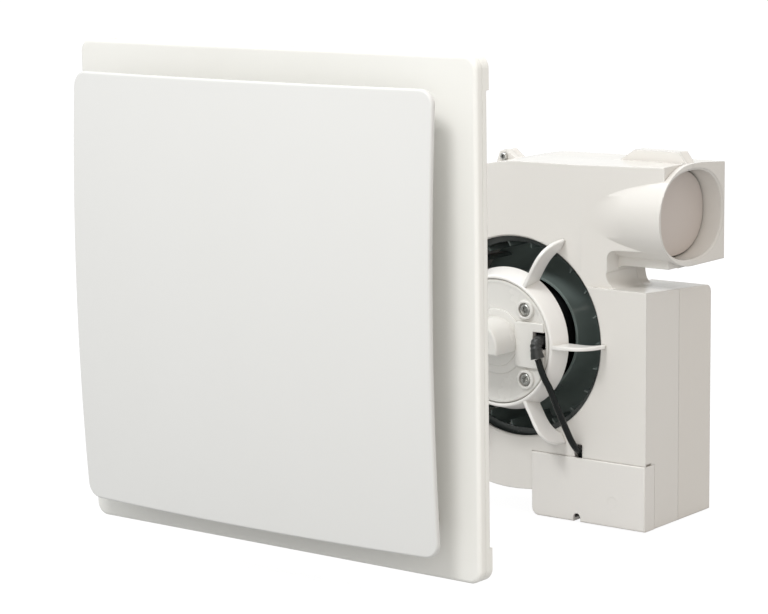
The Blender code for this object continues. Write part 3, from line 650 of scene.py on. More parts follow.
def facade_plate():
    """A thin cushion-shaped sheet on four pegs."""
    edge_r = 1.35
    back_inset, back_y = 2.4, 2.6
    front_scales = (0.015, 0.08, 0.16, 0.25, 0.34, 0.43, 0.52, 0.61, 0.7, 0.79, 0.87, 0.93,
                    0.97, 0.99)
    rings = [plate_ring(edge_r, 0.0, scale) for scale in front_scales]
    rings += [plate_ring(edge_r - out, along) for out, along in quarter(edge_r, 6)]
    rings += [plate_ring(*station)
              for station in ((0.0, 2.7), (0.15, 3.05), (0.5, 3.2), (2.0, 3.2))]
    rings += [plate_ring(back_inset, back_y, scale)
              for scale in (1.0, 0.93, 0.84, 0.72, 0.6, 0.45, 0.3, 0.15, 0.015)]
    parts = [loft("plate_sheet", rings, FACADE)]
    for sx in (-1, 1):
        for sz in (-1, 1):
            x, z = PANEL_X + sx * 115, PANEL_Z + sz * 115
            y = crown(x, z) + 1.2
            profile = [(0, y), (5.6, y), (5.6, y + 1.4), (4.3, y + 2.4), (4.0, y + 3.4),
                       (4.0, PANEL_Y - 7.0), (3.7, PANEL_Y - 6.2), (3.7, PANEL_Y - 4.4),
                       (4.0, PANEL_Y - 3.6), (3.4, PANEL_Y - 1.7), (2.6, PANEL_Y - 1.5),
                       (0, PANEL_Y - 1.5)]
            parts.append(turned("peg", profile, 28, FACADE, (x, z)))
    finish(join("facade_plate_moulding", parts), "plate", "facade_plate", 40)


# ---- the two housing shells ---------------------------------------------------------
def air_radius(degrees):
    """Inner radius of the air passage: short on the box side, long round the scroll."""
    if degrees > -90:
        return 69 + (38 - degrees) * 0.225
    return 97.8 + (-90 - degrees) * 0.07


def shell_outline(outlet_x):
    """(x, z) outline of scroll, box and outlet, anticlockwise from the outlet foot."""
    points = [(outlet_x, OUTLET_BOTTOM), (outlet_x, OUTLET_TOP), (60.0, 113.0), (30.0, 112.85),
              (0.0, TOP_R)]
    points += [polar(TOP_R + (BOTTOM_R - TOP_R) * (d - 90) / 180, d) for d in range(93, 276, 3)]
    points += [(BOX_LEFT, -99.2)] + arc(BOX_LEFT + 5, BOX_BOTTOM + 5, 5.0, 180, 270, 6)
    points += [(BOX_RIGHT, BOX_BOTTOM), (BOX_RIGHT, BOX_TOP), (NECK_X, BOX_TOP)]
    return points + spline([(NECK_X, OUTLET_BOTTOM - 5.0), (NECK_X + 0.8, OUTLET_BOTTOM - 2.1),
                            (NECK_X + 2.9, OUTLET_BOTTOM - 0.5), (NECK_X + 6.4, OUTLET_BOTTOM)], 3)


def neck_foot(y0, y1):
    """Concave foot of the neck on the sloping roof of the box."""
    curve = spline([(NECK_X - 0.1, BOX_TOP + 10.0), (NECK_X + 0.3, BOX_TOP + 6.6),
                    (NECK_X + 1.9, BOX_TOP + 3.2), (NECK_X + 4.6, BOX_TOP + 0.9),
                    (NECK_X + 7.6, BOX_TOP + 0.1)], 4)
    rings = []
    for y in (y0, y1):
        drop = 4.85 * (y - FACE_Y) / 76.7
        ring = [(x, y, z - drop * min(1.0, (BOX_TOP + 10.0 - z) / 6.0)) for x, z in curve]
        ring += [(NECK_X + 7.6, y, BOX_TOP - 8.0), (NECK_X - 4.0, y, BOX_TOP - 8.0),
                 (NECK_X - 4.0, y, BOX_TOP + 10.0)]
        rings.append(ring)
    return loft("neck_foot", rings)


def air(y0, y1):
    """The air space inside the scroll and outlet."""
    points = [(85.0, OUTLET_BOTTOM + 2.3), (85.0, OUTLET_TOP - WALL),
              (0.0, OUTLET_TOP - WALL - 0.6)]
    points += [polar(air_radius(-360 + d), d) for d in range(96, 271, 5)]
    points += [polar(air_radius(d), d) for d in range(-85, 39, 5)]
    points += [(60.5, OUTLET_BOTTOM + 0.5), (66.0, OUTLET_BOTTOM + 2.3)]
    return prism_y("air", points, y0, y1)


def ears(y0, y1):
    """Screw ears on the scroll: rounded tabs running into the wall, blunt at the tip."""
    # (outward from the screw, across)
    tab = [(-12, -14.5), (-6, -11.2), (-1.5, -6.6)] + arc(0, 0, 4.6, -66, 66, 11)
    tab += [(-1.5, 6.6), (-6, 11.2), (-12, 14.5)]
    solids = []
    for x, z in EARS:
        distance = math.hypot(x, z)
        ux, uz = x / distance, z / distance
        points = [(x + ux * min(out, 4.2) - uz * across, z + uz * min(out, 4.2) + ux * across)
                  for out, across in tab]
        solids.append(add(prism_y("ear", points, y0, y1)))
    return solids


def ear_holes():
    return [cut(prism_y("ear_hole", circle(x, z, 1.8, 20), -50, -30)) for x, z in EARS]


def roof():
    """Space above the sloping roof of the box, with the rounded rear top corner."""
    points = [(-82.0, 36.9), (-6.0, 32.1)] + arc(-5.6, 26.6, 5.6, 88, 6, 7)
    return prism_x("roof", points + [(3.0, 27.0), (3.0, 46), (-82.0, 46)], NECK_X + 0.01, 103)


def outlet_tube():
    """Front half of the outlet tube, deepening towards the mouth."""
    half_z = (OUTLET_TOP - OUTLET_BOTTOM) / 2
    rings = []
    for x, depth in ((52.0, 37.3), (80.0, 38.2), (OUTLET_X, 38.6)):
        loop = squircle(SPLIT_Y, OUTLET_MID, depth, half_z, 160, 2.05)
        loop = [p for p in loop if p[0] < SPLIT_Y - 0.2]
        loop = [(SPLIT_Y + 1.0, OUTLET_TOP)] + loop + [(SPLIT_Y + 1.0, OUTLET_BOTTOM)]
        rings.append([(x, y, z) for y, z in loop])
    return loft("tube", rings)


def bore_outline(grow=0.0):
    """(y, z) outline of the outlet bore, widened all round by grow."""
    return squircle(SPLIT_Y + 0.2, OUTLET_MID, 36.0 + grow, 27.9 + grow, 96, 2.3)


def bore():
    return prism_x("bore", bore_outline(), 60.0, OUTLET_X + 2)


def bore_lip():
    """Soft inner edge of the outlet mouth."""
    lip_r = 1.1
    start = OUTLET_X - lip_r
    # (x, growth of the bore)
    stations = [(start - 2, -0.1)]
    stations += [(start + along + 0.001, out) for out, along in quarter(lip_r, 4)]
    stations += [(OUTLET_X + 2, lip_r)]
    return loft("lip", [[(x, y, z) for y, z in bore_outline(grow)] for x, grow in stations])


def ridges(y0, y1):
    """Ridges on the top and bottom of the outlet, at the parting line."""
    top, crest = OUTLET_TOP - 1, OUTLET_TOP + 6.8
    bottom, low = OUTLET_BOTTOM + 1, OUTLET_BOTTOM - 2.0
    outlines = [
        [(54.5, top), (65.9, crest - 0.45), (66.6, crest), (98.6, crest), (99.2, crest - 0.45),
         (105.0, top)],
        [(70.5, bottom), (74.0, low), (99.0, low), (105.0, bottom)],
    ]
    return [add(prism_y("ridge", points, y0, y1)) for points in outlines]


def slant_wedge(extra=0.0):
    """Space in front of the receding outlet face."""
    end_x = 125.0
    points = [(SLANT_X, FACE_Y + extra), (SLANT_X, FACE_Y - 30), (end_x, FACE_Y - 30),
              (end_x, FACE_Y + SLANT * (end_x - SLANT_X) + extra)]
    return prism_z("slant", points, BOX_TOP - 0.01, 140)


# wall of the electronics space next to the air passage
POCKET_ARC = [polar(air_radius(d) + WALL, d) for d in range(20, -49, -6)]


def front_shell():
    front = prism_y("scroll_front_moulding", shell_outline(104.0), FACE_Y, SPLIT_Y + 1.0, ABS)
    carve(front, cut(roof()), add(neck_foot(FACE_Y, SPLIT_Y + 1.0)), cut(slant_wedge()))

    def on_box(mid):
        return mid.z < 60 and mid.x > 12.4

    def on_scroll(mid):
        return mid.z > 60 or mid.x < 12.4

    for region, width, segments in ((on_scroll, 2.3, 5), (on_box, 0.9, 3)):
        round_edges(front, lambda mid, low, high: low < -0.9 and abs(high) < 0.25 and region(mid),
                    width, segments)

    # the neck notch reaches higher in front, up to the underside of the outlet tube
    notch = [(67.2, 45.5)]
    notch += spline([(67.2, 55.4), (67.8, 57.7), (69.7, 59.6), (73.2, 60.2)], 4)
    notch += [(125.0, 60.2), (125.0, 45.5)]
    carve(front,
          cut(prism_y("high_notch", notch, FACE_Y - 5, -60.0)),
          add(outlet_tube()),
          *ears(SPLIT_Y - 5.5, SPLIT_Y + 1.0),
          *ridges(-40.6, SPLIT_Y + 1.0),
          cut(block("parting", (-160, SPLIT_Y - 0.05, -160), (160, 10, 160))))

    space = air(FACE_Y + WALL, SPLIT_Y + 1)
    carve(space,
          cut(slant_wedge(WALL + 0.3)),
          cut(block("keep", (10.0, -90, -140), (120, -46.0, -71.1))),
          cut(block("keep", (42.5, -90, -100), (53.5, -60.0, -62.4))),
          cut(block("keep", (64.6, -90, 30.0), (125.0, -57.8, 62.4))))
    pocket = [(68.5, 31.0)] + POCKET_ARC
    pocket += [(62.0, -69.0), (BOX_RIGHT - WALL, -69.0), (BOX_RIGHT - WALL, 31.0)]
    lip_r = 0.7
    inlet = [(0, FACE_Y - 5), (INLET_R + lip_r, FACE_Y - 5)]
    inlet += [(INLET_R + lip_r - along, FACE_Y - 0.001 + out) for out, along in quarter(lip_r, 4)]
    inlet += [(INLET_R, FACE_Y + 5), (0, FACE_Y + 5)]
    carve(front,
          cut(space),
          cut(bore()),
          cut(bore_lip()),
          cut(turned("inlet", inlet, 128)),
          cut(prism_y("electronics", pocket, FACE_Y + WALL, SPLIT_Y + 1)),
          cut(block("lid_seat", (BOX_LEFT + 0.1, FACE_Y - 2, -99.4),
                    (BOX_RIGHT + 2, -66.4, -73.3))),
          cut(block("lid_seat_low", (BOX_LEFT - 1, FACE_Y - 2, -120),
                    (BOX_RIGHT + 2, -66.4, -99.3))),
          cut(block("latch_slot", (BOX_RIGHT - 1.6, FACE_Y + 0.4, -73.6),
                    (BOX_RIGHT + 2, -70.2, -71.9))),
          cut(block("compartment", (BOX_LEFT + WALL, -68, BOX_BOTTOM + WALL),
                    (BOX_RIGHT - WALL, -48.0, -75.5))),
          cut(block("cable_notch", (45.2, FACE_Y - 1, -76.0), (51.0, -66, -65.0))),
          cut(block("wire_way", (72.0, -60, -77.0), (80.0, -50, -67.5))),
          *ear_holes())
    finish(front, "unit", "volute_front", 30)


def rear_shell():
    rear = prism_y("scroll_rear_moulding", shell_outline(OUTLET_X), SPLIT_Y - 1.0, 0.0, ABS_REAR)
    carve(rear, cut(roof()), add(neck_foot(SPLIT_Y - 1.0, -27.0)))
    round_edges(rear, lambda mid, low, high: (high > 0.9 and abs(low) < 0.2
                                              and mid.x > 60 and mid.z < 60), 1.2, 3)

    # all but the box and outlet stops short of the rearmost plane
    back = [(-140, -140), (57.0, -140), (57.0, BOX_TOP), (65.0, BOX_TOP), (65.0, 140), (-140, 140)]
    boss = [(0, -15.0), (20.0, -15.0), (20.0, -1.0), (19.0, 0.0), (0, 0.0)]
    neck_gap = [(-27.9, 33.43), (-6.0, 32.05)] + arc(-5.6, 26.6, 5.55, 88, 6, 7)
    neck_gap += [(3.0, 27.0), (3.0, OUTLET_BOTTOM + 0.2), (-27.9, OUTLET_BOTTOM + 0.2)]
    top_slope = [(-28.0, OUTLET_TOP - 0.01), (3.0, OUTLET_TOP - 2.5), (3.0, 130), (-28.0, 130)]

    space = air(SPLIT_Y - 1, BACK_Y - WALL)
    carve(space, cut(block("neck_keep", (54.6, -30.4, 39.4), (70, 0, OUTLET_BOTTOM + 2.4))))
    # the bore leaves the wall where the scroll steps back to the outlet
    rear_bore = bore()
    carve(rear_bore, cut(block("step_wall", (59.0, BACK_Y - WALL, 40.0), (67.2, 5.0, 130.0))))
    # the rounded rear corner leaves less room at the top of the pocket
    pocket = [(69.0, 26.0)] + POCKET_ARC
    pocket += [(60.0, -70.0), (60.0, BOX_BOTTOM + WALL), (BOX_RIGHT - WALL, BOX_BOTTOM + WALL),
               (BOX_RIGHT - WALL, 26.0)]
    carve(rear,
          cut(prism_y("back", back, BACK_Y, 5)),
          add(turned("boss", boss, 64)),
          cut(prism_x("neck_gap", neck_gap, 56.9, 76.0)),
          cut(prism_x("top_slope", top_slope, 56.0, 112)),
          *ridges(SPLIT_Y - 1.0, -30.6),
          *ears(SPLIT_Y - 1.0, SPLIT_Y + 5.5),
          cut(block("parting", (-160, -90, -160), (160, SPLIT_Y + 0.05, 160))),
          cut(space),
          cut(rear_bore),
          cut(bore_lip()),
          cut(prism_y("electronics", pocket, SPLIT_Y - 1, -WALL)),
          cut(prism_y("grommet_hole", circle(84, -95, 7.0, 40), -5, 3)),
          cut(prism_z("pin_hole", circle(FLAP_X, FLAP_Y, 1.8, 20), OUTLET_BOTTOM - 5.6,
                      OUTLET_TOP + 5.2)),
          *ear_holes())
    finish(rear, "unit", "volute_rear", 30)


# ---- carrier: ring and six arms over the inlet ------------------------------------------
CARRIER_RING = [  # (radius, y)
    (40.0, -97.2), (40.35, -97.75), (41.0, -98.0), (41.6, -97.9), (42.1, -97.5), (42.6, -96.3),
    (44.2, -90.5), (45.7, -85.2), (46.0, -84.3), (45.8, -84.0), (33.0, -84.0), (33.0, -86.0),
    (40.0, -86.0)]
# Front and rear edges of the arms, as (radius, y)
LONG_ARM = (
    [(41.0, -97.4), (50.0, -98.2), (57.5, -98.6), (64.0, -98.0), (68.8, -95.6), (72.4, -91.2),
     (74.5, -85.8), (75.5, -79.0), (75.5, -77.1)],
    [(68.7, -77.1), (66.6, -80.2), (62.5, -83.2), (57.0, -84.6), (50.0, -84.6), (42.0, -84.3)])
SHORT_ARM = (
    [(41.0, -97.4), (50.0, -97.4), (57.0, -95.8), (62.0, -92.4), (66.0, -87.0), (68.9, -79.0),
     (68.9, -77.1)],
    [(66.3, -77.1), (65.0, -80.8), (61.5, -83.6), (57.0, -84.6), (50.0, -84.6), (42.0, -84.3)])


def arm(degrees, edges):
    """Flat arm with a chamfered front edge."""
    front_edge, rear_edge = [spline(points, 3) for points in edges]
    ca, sa = math.cos(math.radians(degrees)), math.sin(math.radians(degrees))
    rings = []
    for across, inset in ((-1.2, 0.45), (-0.75, 0.0), (0.75, 0.0), (1.2, 0.45)):
        loop = []
        for i, (radius, y) in enumerate(front_edge):
            if 2 < i < len(front_edge) - 1:
                before, after = front_edge[i - 1], front_edge[i + 1]
                run, rise = after[0] - before[0], after[1] - before[1]
                length = math.hypot(run, rise)
                radius, y = radius - inset * rise / length, y + inset * run / length
            loop.append((radius, y))
        loop += rear_edge
        rings.append([(radius * ca - across * sa, y, radius * sa + across * ca)
                      for radius, y in loop])
    return loft("arm", rings)


def motor_carrier():
    carrier = turned("carrier_moulding", CARRIER_RING, 128, HUB)
    carve(carrier, *[add(arm(60 * k, LONG_ARM if k % 3 else SHORT_ARM)) for k in range(6)])
    finish(carrier, "unit", "motor_carrier", 35)


# ---- hub cover --------------------------------------------------------------------------
HUB_SCREWS = [polar(31.5, a) for a in (45, 135, 225, 315)]
# Profiles as (radius, y)
COVER_DISC = [
    (0, -97.0), (36.6, -97.0), (37.4, -97.35), (38.3, -97.6), (39.1, -97.4), (39.6, -96.8),
    (39.7, -96.0), (39.7, -94.8), (0, -94.8)]
COVER_BOSS = [
    (0, -99.0), (4.6, -99.0), (5.0, -99.2), (5.6, -99.15), (6.1, -98.8), (6.3, -98.2),
    (6.5, -96.0), (6.5, -95.5), (0, -95.5)]
BOSS_HOLE = [
    (0, -101), (4.7, -101), (4.7, -99.3), (4.4, -98.9), (4.4, -96.7), (2.1, -96.7), (2.1, -86),
    (0, -86)]
STUB_FOOT = [(0, -98.9), (15.2, -98.9), (15.8, -98.7), (16.0, -98.2), (16.0, -96.0), (0, -96.0)]
STUB_STEP = [(0, -98.0), (20.2, -98.0), (20.8, -97.8), (21.0, -97.2), (21.0, -96.0), (0, -96.0)]
# Upper half of the raised web to the right of the stub, as (x, z)
WEB_HALF = [(14.5, 13.8), (17.5, 14.6), (22, 14.6), (34.5, 14.6), (36.3, 14.2), (36.6, 12.0)]


def cover_web():
    web = [(x, -z) for x, z in WEB_HALF] + WEB_HALF[::-1]
    return loft("web", [[(x, -96.0, z) for x, z in web], [(x, -98.4, z) for x, z in web],
                        [(25 + (x - 25) * 0.965, -98.8, z * 0.965) for x, z in web]])


def cover_stub():
    """Round stub with a flat underside and a rounded front edge."""
    radius, edge_r, flat_z = 15.7, 1.6, -4.6
    section = [(15.06, flat_z)] + arc(0, 0, radius, -15, 195, 56) + [(-15.06, flat_z)]
    rings = [[(x, -96.0, z) for x, z in section]]
    for out, along in reversed(quarter(edge_r, 5)):
        scale_x = 1 - (edge_r - out) / radius
        scale_z = 1 - (edge_r - out) / 12.0
        rings.append([(x * scale_x, -120.0 + along, (z - 3) * scale_z + 3) for x, z in section])
    return loft("stub", rings)


def hub_cover():
    cover = turned("hub_cover_moulding", COVER_DISC, 128, COVER)
    carve(cover,
          *[add(turned("boss", COVER_BOSS, 48, centre=spot)) for spot in HUB_SCREWS],
          add(cover_web()),
          add(turned("stub_foot", STUB_FOOT, 64)),
          add(turned("stub_step", STUB_STEP, 64)),
          add(cover_stub()),
          *[cut(turned("boss_hole", BOSS_HOLE, 40, centre=spot)) for spot in HUB_SCREWS],
          cut(block("boot_window", (28.6, -104, -2.0), (37.4, -90, 9.0))))
    finish(cover, "unit", "hub_cover", 32)


# ---- screws -------------------------------------------------------------------------------
BOX_FACES = [(0, 1, 2, 3), (7, 6, 5, 4), (0, 4, 5, 1), (1, 5, 6, 2), (2, 6, 7, 3), (3, 7, 4, 0)]


def pan_screw(name, x, z, seat, head_y, tip_y, head_r, shank_r, turn):
    """Pan head with a cross recess; the head stands from seat towards head_y."""
    sign = 1 if head_y > seat else -1
    rise = sign * abs(head_y - seat)
    profile = [(0, head_y), (head_r * 0.62, head_y), (head_r * 0.80, head_y - rise * 0.10),
               (head_r * 0.93, head_y - rise * 0.32), (head_r, head_y - rise * 0.62),
               (head_r, seat + rise * 0.05), (head_r * 0.97, seat), (shank_r, seat),
               (shank_r, tip_y + sign * 1.2), (shank_r * 0.5, tip_y), (0, tip_y)]
    screw = turned(name, profile, 40, ZINC, (x, z))
    # each slot tapers from above the head to its floor: (y, half length, half width)
    slot = ((head_y + sign * 1.0, head_r * 0.66, 0.62),
            (head_y - rise * 0.78, head_r * 0.30, 0.34))
    cuts = []
    for k in range(2):
        a = math.radians(turn + 90 * k)
        ca, sa = math.cos(a), math.sin(a)
        points = []
        for y, length, width in slot:
            for u, v in ((-length, -width), (length, -width), (length, width), (-length, width)):
                points.append((x + u * ca - v * sa, y, z + u * sa + v * ca))
        cuts.append(cut(mesh("recess", points, BOX_FACES)))
    carve(screw, *cuts)
    return screw


def screw_set(kind, body, spots, turns, **sizes):
    for i, ((x, z), turn) in enumerate(zip(spots, turns), start=1):
        screw = pan_screw(f"{kind}_{i}_head", x, z, turn=turn, **sizes)
        finish(screw, body, f"{kind}_{i}", 38)


def screws():
    screw_set("hub_screw", "unit", HUB_SCREWS, (22, 40, 10, 68),
              seat=-97.0, head_y=-98.9, tip_y=-87.2, head_r=3.9, shank_r=1.8)
    seat = SPLIT_Y - 5.8
    screw_set("housing_screw", "unit", EARS, (15, 48, 81),
              seat=seat, head_y=seat - 1.8, tip_y=SPLIT_Y + 9.5, head_r=2.7, shank_r=1.4)
    screw_set("spider_screw", "facade", PANEL_SCREWS, (12, 52, 92, 132),
              seat=PANEL_Y + 6.6, head_y=PANEL_Y + 8.6, tip_y=PANEL_Y + 1.4, head_r=3.2,
              shank_r=1.4)


# ---- motor and impeller -------------------------------------------------------------------
CAN_PROFILE = [  # (radius, y)
    (28.5, -83.7), (30.6, -83.7), (31.2, -83.4), (31.5, -82.8), (31.5, -62.0), (31.0, -61.4),
    (31.0, -60.6), (31.5, -60.0), (31.5, -34.4), (31.1, -33.4), (30.2, -33.0), (9.3, -33.0),
    (9.3, -41.0), (12.0, -41.0), (12.0, -34.6), (30.0, -34.6), (30.0, -82.2), (28.5, -82.2)]
RING_PROFILE = [
    (60.6, -71.0), (60.9, -71.4), (65.6, -71.4), (66.0, -71.0), (66.0, -70.0), (65.6, -69.6),
    (60.9, -69.6), (60.6, -70.0)]
BELL_INSIDE = [(41.0, -26.0), (39.0, -33.0), (37.4, -42.0), (36.8, -52.0), (36.85, -62.6)]
BELL_OUTSIDE = [
    (38.7, -62.6), (39.1, -53.0), (40.5, -44.5), (43.7, -37.0), (49.1, -31.2), (56.6, -27.6),
    (65.6, -26.0)]
BLADES = 22


def motor_can():
    can = turned("motor_can_body", CAN_PROFILE, 96, CAN)
    finish(can, "unit", "motor_can", 40)


def blade(k):
    """Thin blade between the ring and the bell, curving and thinning outwards."""
    rings = []
    for y in (-70.4, -25.2):
        fore, aft = [], []
        for j in range(7):
            t = j / 6
            radius = 57.4 + 8.0 * t
            a = math.radians(360 * k / BLADES + 7.0 * t * t)
            half = 0.6 - 0.15 * abs(2 * t - 1)
            ca, sa = math.cos(a), math.sin(a)
            fore.append((radius * ca - half * sa, y, radius * sa + half * ca))
            aft.append((radius * ca + half * sa, y, radius * sa - half * ca))
        rings.append(fore + aft[::-1])
    return loft("blade", rings, WHEEL_BLADE)


def impeller():
    bell = [(4.3, -31.0), (9.0, -31.0), (9.0, -26.0)] + spline(BELL_INSIDE, 5)
    bell += [(37.1, -63.0), (38.4, -63.0)] + spline(BELL_OUTSIDE, 7)
    bell += [(66.0, -25.7), (66.0, -24.5), (65.7, -24.2), (9.0, -24.2), (9.0, -19.2), (4.3, -19.2)]
    parts = [turned("bell", bell, 120, WHEEL_BELL_PAINTED_LIGHT), turned("ring", RING_PROFILE, 120, WHEEL_RING_PAINTED_SHADE)]
    parts += [blade(k) for k in range(BLADES)]
    wheel = join("impeller_wheel", parts)
    wheel.data.materials.append(WHEEL_HOLLOW_PAINTED_SHADE)
    # the hollow of the bell, round the motor, gets a near-black copy of the impeller material: painted
    # shade
    for face in wheel.data.polygons:
        centre = face.center / MM
        radius = math.hypot(centre.x, centre.z)
        inward = face.normal.x * centre.x + face.normal.z * centre.z < -0.2 * radius
        if radius < 41.5 and centre.y < -25.9 and (inward or radius < 37.5):
            face.material_index = len(wheel.data.materials) - 1
    finish(wheel, "impeller", "impeller", 35)


# ---- boot and lead, with centre lines as (x, y, z) -------------------------------------------
BOOT_LINE = [(33.0, -92.0, 3.6), (33.0, -98.0, 3.6), (33.4, -101.8, 2.2), (34.6, -103.7, -1.5),
             (35.9, -103.9, -6.5)]
LEAD_LINE = [(36.1, -103.9, -7.0), (37.6, -103.0, -13.0), (39.0, -100.6, -20.0),
             (40.4, -97.6, -26.0), (42.9, -94.0, -37.0), (45.2, -89.8, -48.3),
             (47.2, -85.0, -59.3), (47.9, -81.6, -64.6), (48.1, -78.8, -67.6),
             (48.1, -74.4, -70.8), (48.1, -71.4, -75.0), (48.1, -68.4, -79.0),
             (48.1, -62.0, -82.0)]
RIBS, RIBS_FROM, RIBS_TO = 4, 0.18, 0.74  # number of ribs, and their fractions of the boot
FLARE_FROM = 0.80


def cable_boot():
    """Ribbed sleeve that flares at its lower end."""
    path = spline(BOOT_LINE, 10)
    radii = []
    for k in range(len(path)):
        t = k / (len(path) - 1)
        radius = 3.25 + 0.45 * t
        if RIBS_FROM < t < RIBS_TO:
            radius += 0.26 * math.cos((t - RIBS_FROM) / (RIBS_TO - RIBS_FROM) * 2 * PI * RIBS)
        if t > FLARE_FROM:
            radius += 0.70 * ((t - FLARE_FROM) / (1 - FLARE_FROM)) ** 0.6
        radii.append(radius)
    boot = swept("cable_boot_ribbed", path, radii, 40, BOOT)
    finish(boot, "unit", "cable_boot", 40)


def motor_lead():
    path = spline(LEAD_LINE, 7)
    lead = swept("motor_lead_sheath", path, [2.1] * len(path), 32, PVC)
    finish(lead, "unit", "motor_lead", 50)


# ---- outlet flap ------------------------------------------------------------------------------
def outlet_flap():
    """Disc across the bore with three hinge barrels."""
    # (distance from the left face, growth from the bore outline)
    section = ((0, -1.2), (0.3, -0.8), (1.2, -0.8), (1.6, -1.2))
    flap = loft("flap_disc", [[(DISC_X + dx, y, z) for y, z in bore_outline(grow)]
                              for dx, grow in section], FLAP)
    steps = [add(prism_z("barrel", circle(FLAP_X, FLAP_Y, 3.0, 40), OUTLET_MID + z0,
                         OUTLET_MID + z1))
             for z0, z1 in ((-25.5, -9), (-8.6, 8.6), (9, 25.5))]
    steps.append(cut(prism_z("pin_bore", circle(FLAP_X, FLAP_Y, 1.8, 24), 40, 130)))
    dimple = circle(-8.2, 59.8, 0.7, 16)
    steps.append(cut(prism_x("stop_dimple", dimple, DISC_X + 1.1, DISC_X + 3)))
    carve(flap, *steps)
    finish(flap, "flap", "non_return_flap", 32)


# ---- terminal lid -------------------------------------------------------------------------------
def terminal_lid():
    lid_front = -78.0
    outline = [(BOX_RIGHT, -73.42)] + arc(BOX_LEFT + 1.3, -74.42, 1.0, 90, 180, 4)
    outline += [(BOX_LEFT + 0.3, -78.0)]
    outline += arc(BOX_LEFT + 5.3, BOX_BOTTOM + 4.8, 5.0, 180, 270, 8)
    outline += [(BOX_RIGHT, BOX_BOTTOM - 0.2)]
    lid = prism_y("terminal_lid_moulding", outline, lid_front, -66.52, LID)
    round_edges(lid, lambda mid, low, high: low < -0.9, 1.1, 4)
    hollow = [(BOX_LEFT + 2.5, -75.6), (BOX_LEFT + 2.5, BOX_BOTTOM + 5),
              (BOX_LEFT + 6, BOX_BOTTOM + 2), (BOX_RIGHT - 2, BOX_BOTTOM + 2),
              (BOX_RIGHT - 2, -75.6)]
    notch = [(44.9, BOX_BOTTOM - 3)] + arc(47.6, BOX_BOTTOM + 2.5, 2.7, 180, 0, 12)
    notch += [(50.3, BOX_BOTTOM - 3)]
    gate_mark = [(0, -79), (3.6, -79), (3.6, -77.93), (3.3, -77.9), (0, -77.9)]
    carve(lid,
          cut(prism_y("hollow", hollow, -76.0, -60)),
          cut(block("cable", (45.2, -76.5, -77), (51.0, -60, -72))),
          cut(prism_y("notch", notch, -80, -60)),
          cut(block("clip_a", (BOX_LEFT - 1, -77.2, -79.0), (BOX_LEFT + 1.1, -74.6, -75.4))),
          cut(block("clip_b", (BOX_LEFT - 1, -77.2, -95.2), (BOX_LEFT + 1.1, -74.6, -91.6))),
          cut(turned("gate_mark", gate_mark, 40, centre=(74.4, -99.2))))
    finish(lid, "lid", "terminal_lid", 32)


# ---- filter mat -----------------------------------------------------------------------------------
def filter_mat():
    """Uneven open sheet, flat at its border, with a round hole on the motor axis."""
    cells, half, hole_r = 72, 102.4, 22.0
    verts = []
    for forward in (4.3, 2.2):  # front and back faces, ahead of PANEL_Y
        for i in range(cells + 1):
            for j in range(cells + 1):
                u, v = -1 + 2 * i / cells, -1 + 2 * j / cells
                x, z = PANEL_X + half * u, PANEL_Z + half * v
                fall = min(1.0, 6 * (1 - max(abs(u), abs(v))))
                wave = 0.45 * fall * (math.sin(0.31 * x + 1.3 * math.sin(0.11 * z))
                                      * math.sin(0.27 * z + 0.9 * math.sin(0.13 * x)))
                wave += 0.25 * fall * math.sin(0.93 * x + 0.71 * z) * math.cos(0.83 * z - 0.35 * x)
                verts.append((x, PANEL_Y - forward + wave, z))
    layer = (cells + 1) ** 2
    faces = []
    for i in range(cells):
        for j in range(cells):
            a = i * (cells + 1) + j
            quad = (a, a + 1, a + cells + 2, a + cells + 1)
            x = sum(verts[k][0] for k in quad) / 4
            z = sum(verts[k][2] for k in quad) / 4
            if math.hypot(x, z) >= hole_r:
                faces.append(quad)
                faces.append(tuple(k + layer for k in reversed(quad)))
    # close the sheet along the edges used by only one front face
    edge_uses = {}
    for face in faces:
        for a, b in zip(face, face[1:] + face[:1]):
            edge_uses.setdefault(frozenset((a, b)), []).append((a, b))
    for key, uses in edge_uses.items():
        if len(uses) == 1 and max(key) < layer:
            a, b = uses[0]
            faces.append((b, a, a + layer, b + layer))
    sheet = mesh("filter_mat_sheet", verts, faces, FILTER)
    finish(sheet, "filter", "filter_mat", 60)


facade_frame()
facade_plate()
front_shell()
rear_shell()
motor_carrier()
hub_cover()
screws()
motor_can()
impeller()
cable_boot()
motor_lead()
outlet_flap()
terminal_lid()
filter_mat()

# ---- CAD pieces that stay, with their own finish ------------------------------------------------------
CAD_FINISH = {
    "motor_end_plate": STEEL, "stator_core": LAMINATION, "rotor_core": LAMINATION,
    "stator_winding_front": WIRE, "stator_winding_rear": WIRE, "bearing_front": STEEL,
    "bearing_rear": STEEL, "motor_shaft": STEEL, "impeller_clip": STEEL,
    "terminal_block": TERMINAL, "cord_clamp": DARK_PART, "clamp_screw_1": ZINC,
    "clamp_screw_2": ZINC, "entry_grommet": BOOT, "control_board": BOARD,
    "board_capacitor": DARK_PART, "flap_pin": STEEL, "facade_spider": INNER,
    "filter_frame": INNER, "plate_clip_1": STEEL, "plate_clip_2": STEEL,
    "plate_clip_3": STEEL, "plate_clip_4": STEEL,
}
for name, mat in CAD_FINISH.items():
    node = frame["nodes"][name]
    node.data.materials.clear()
    node.data.materials.append(mat)


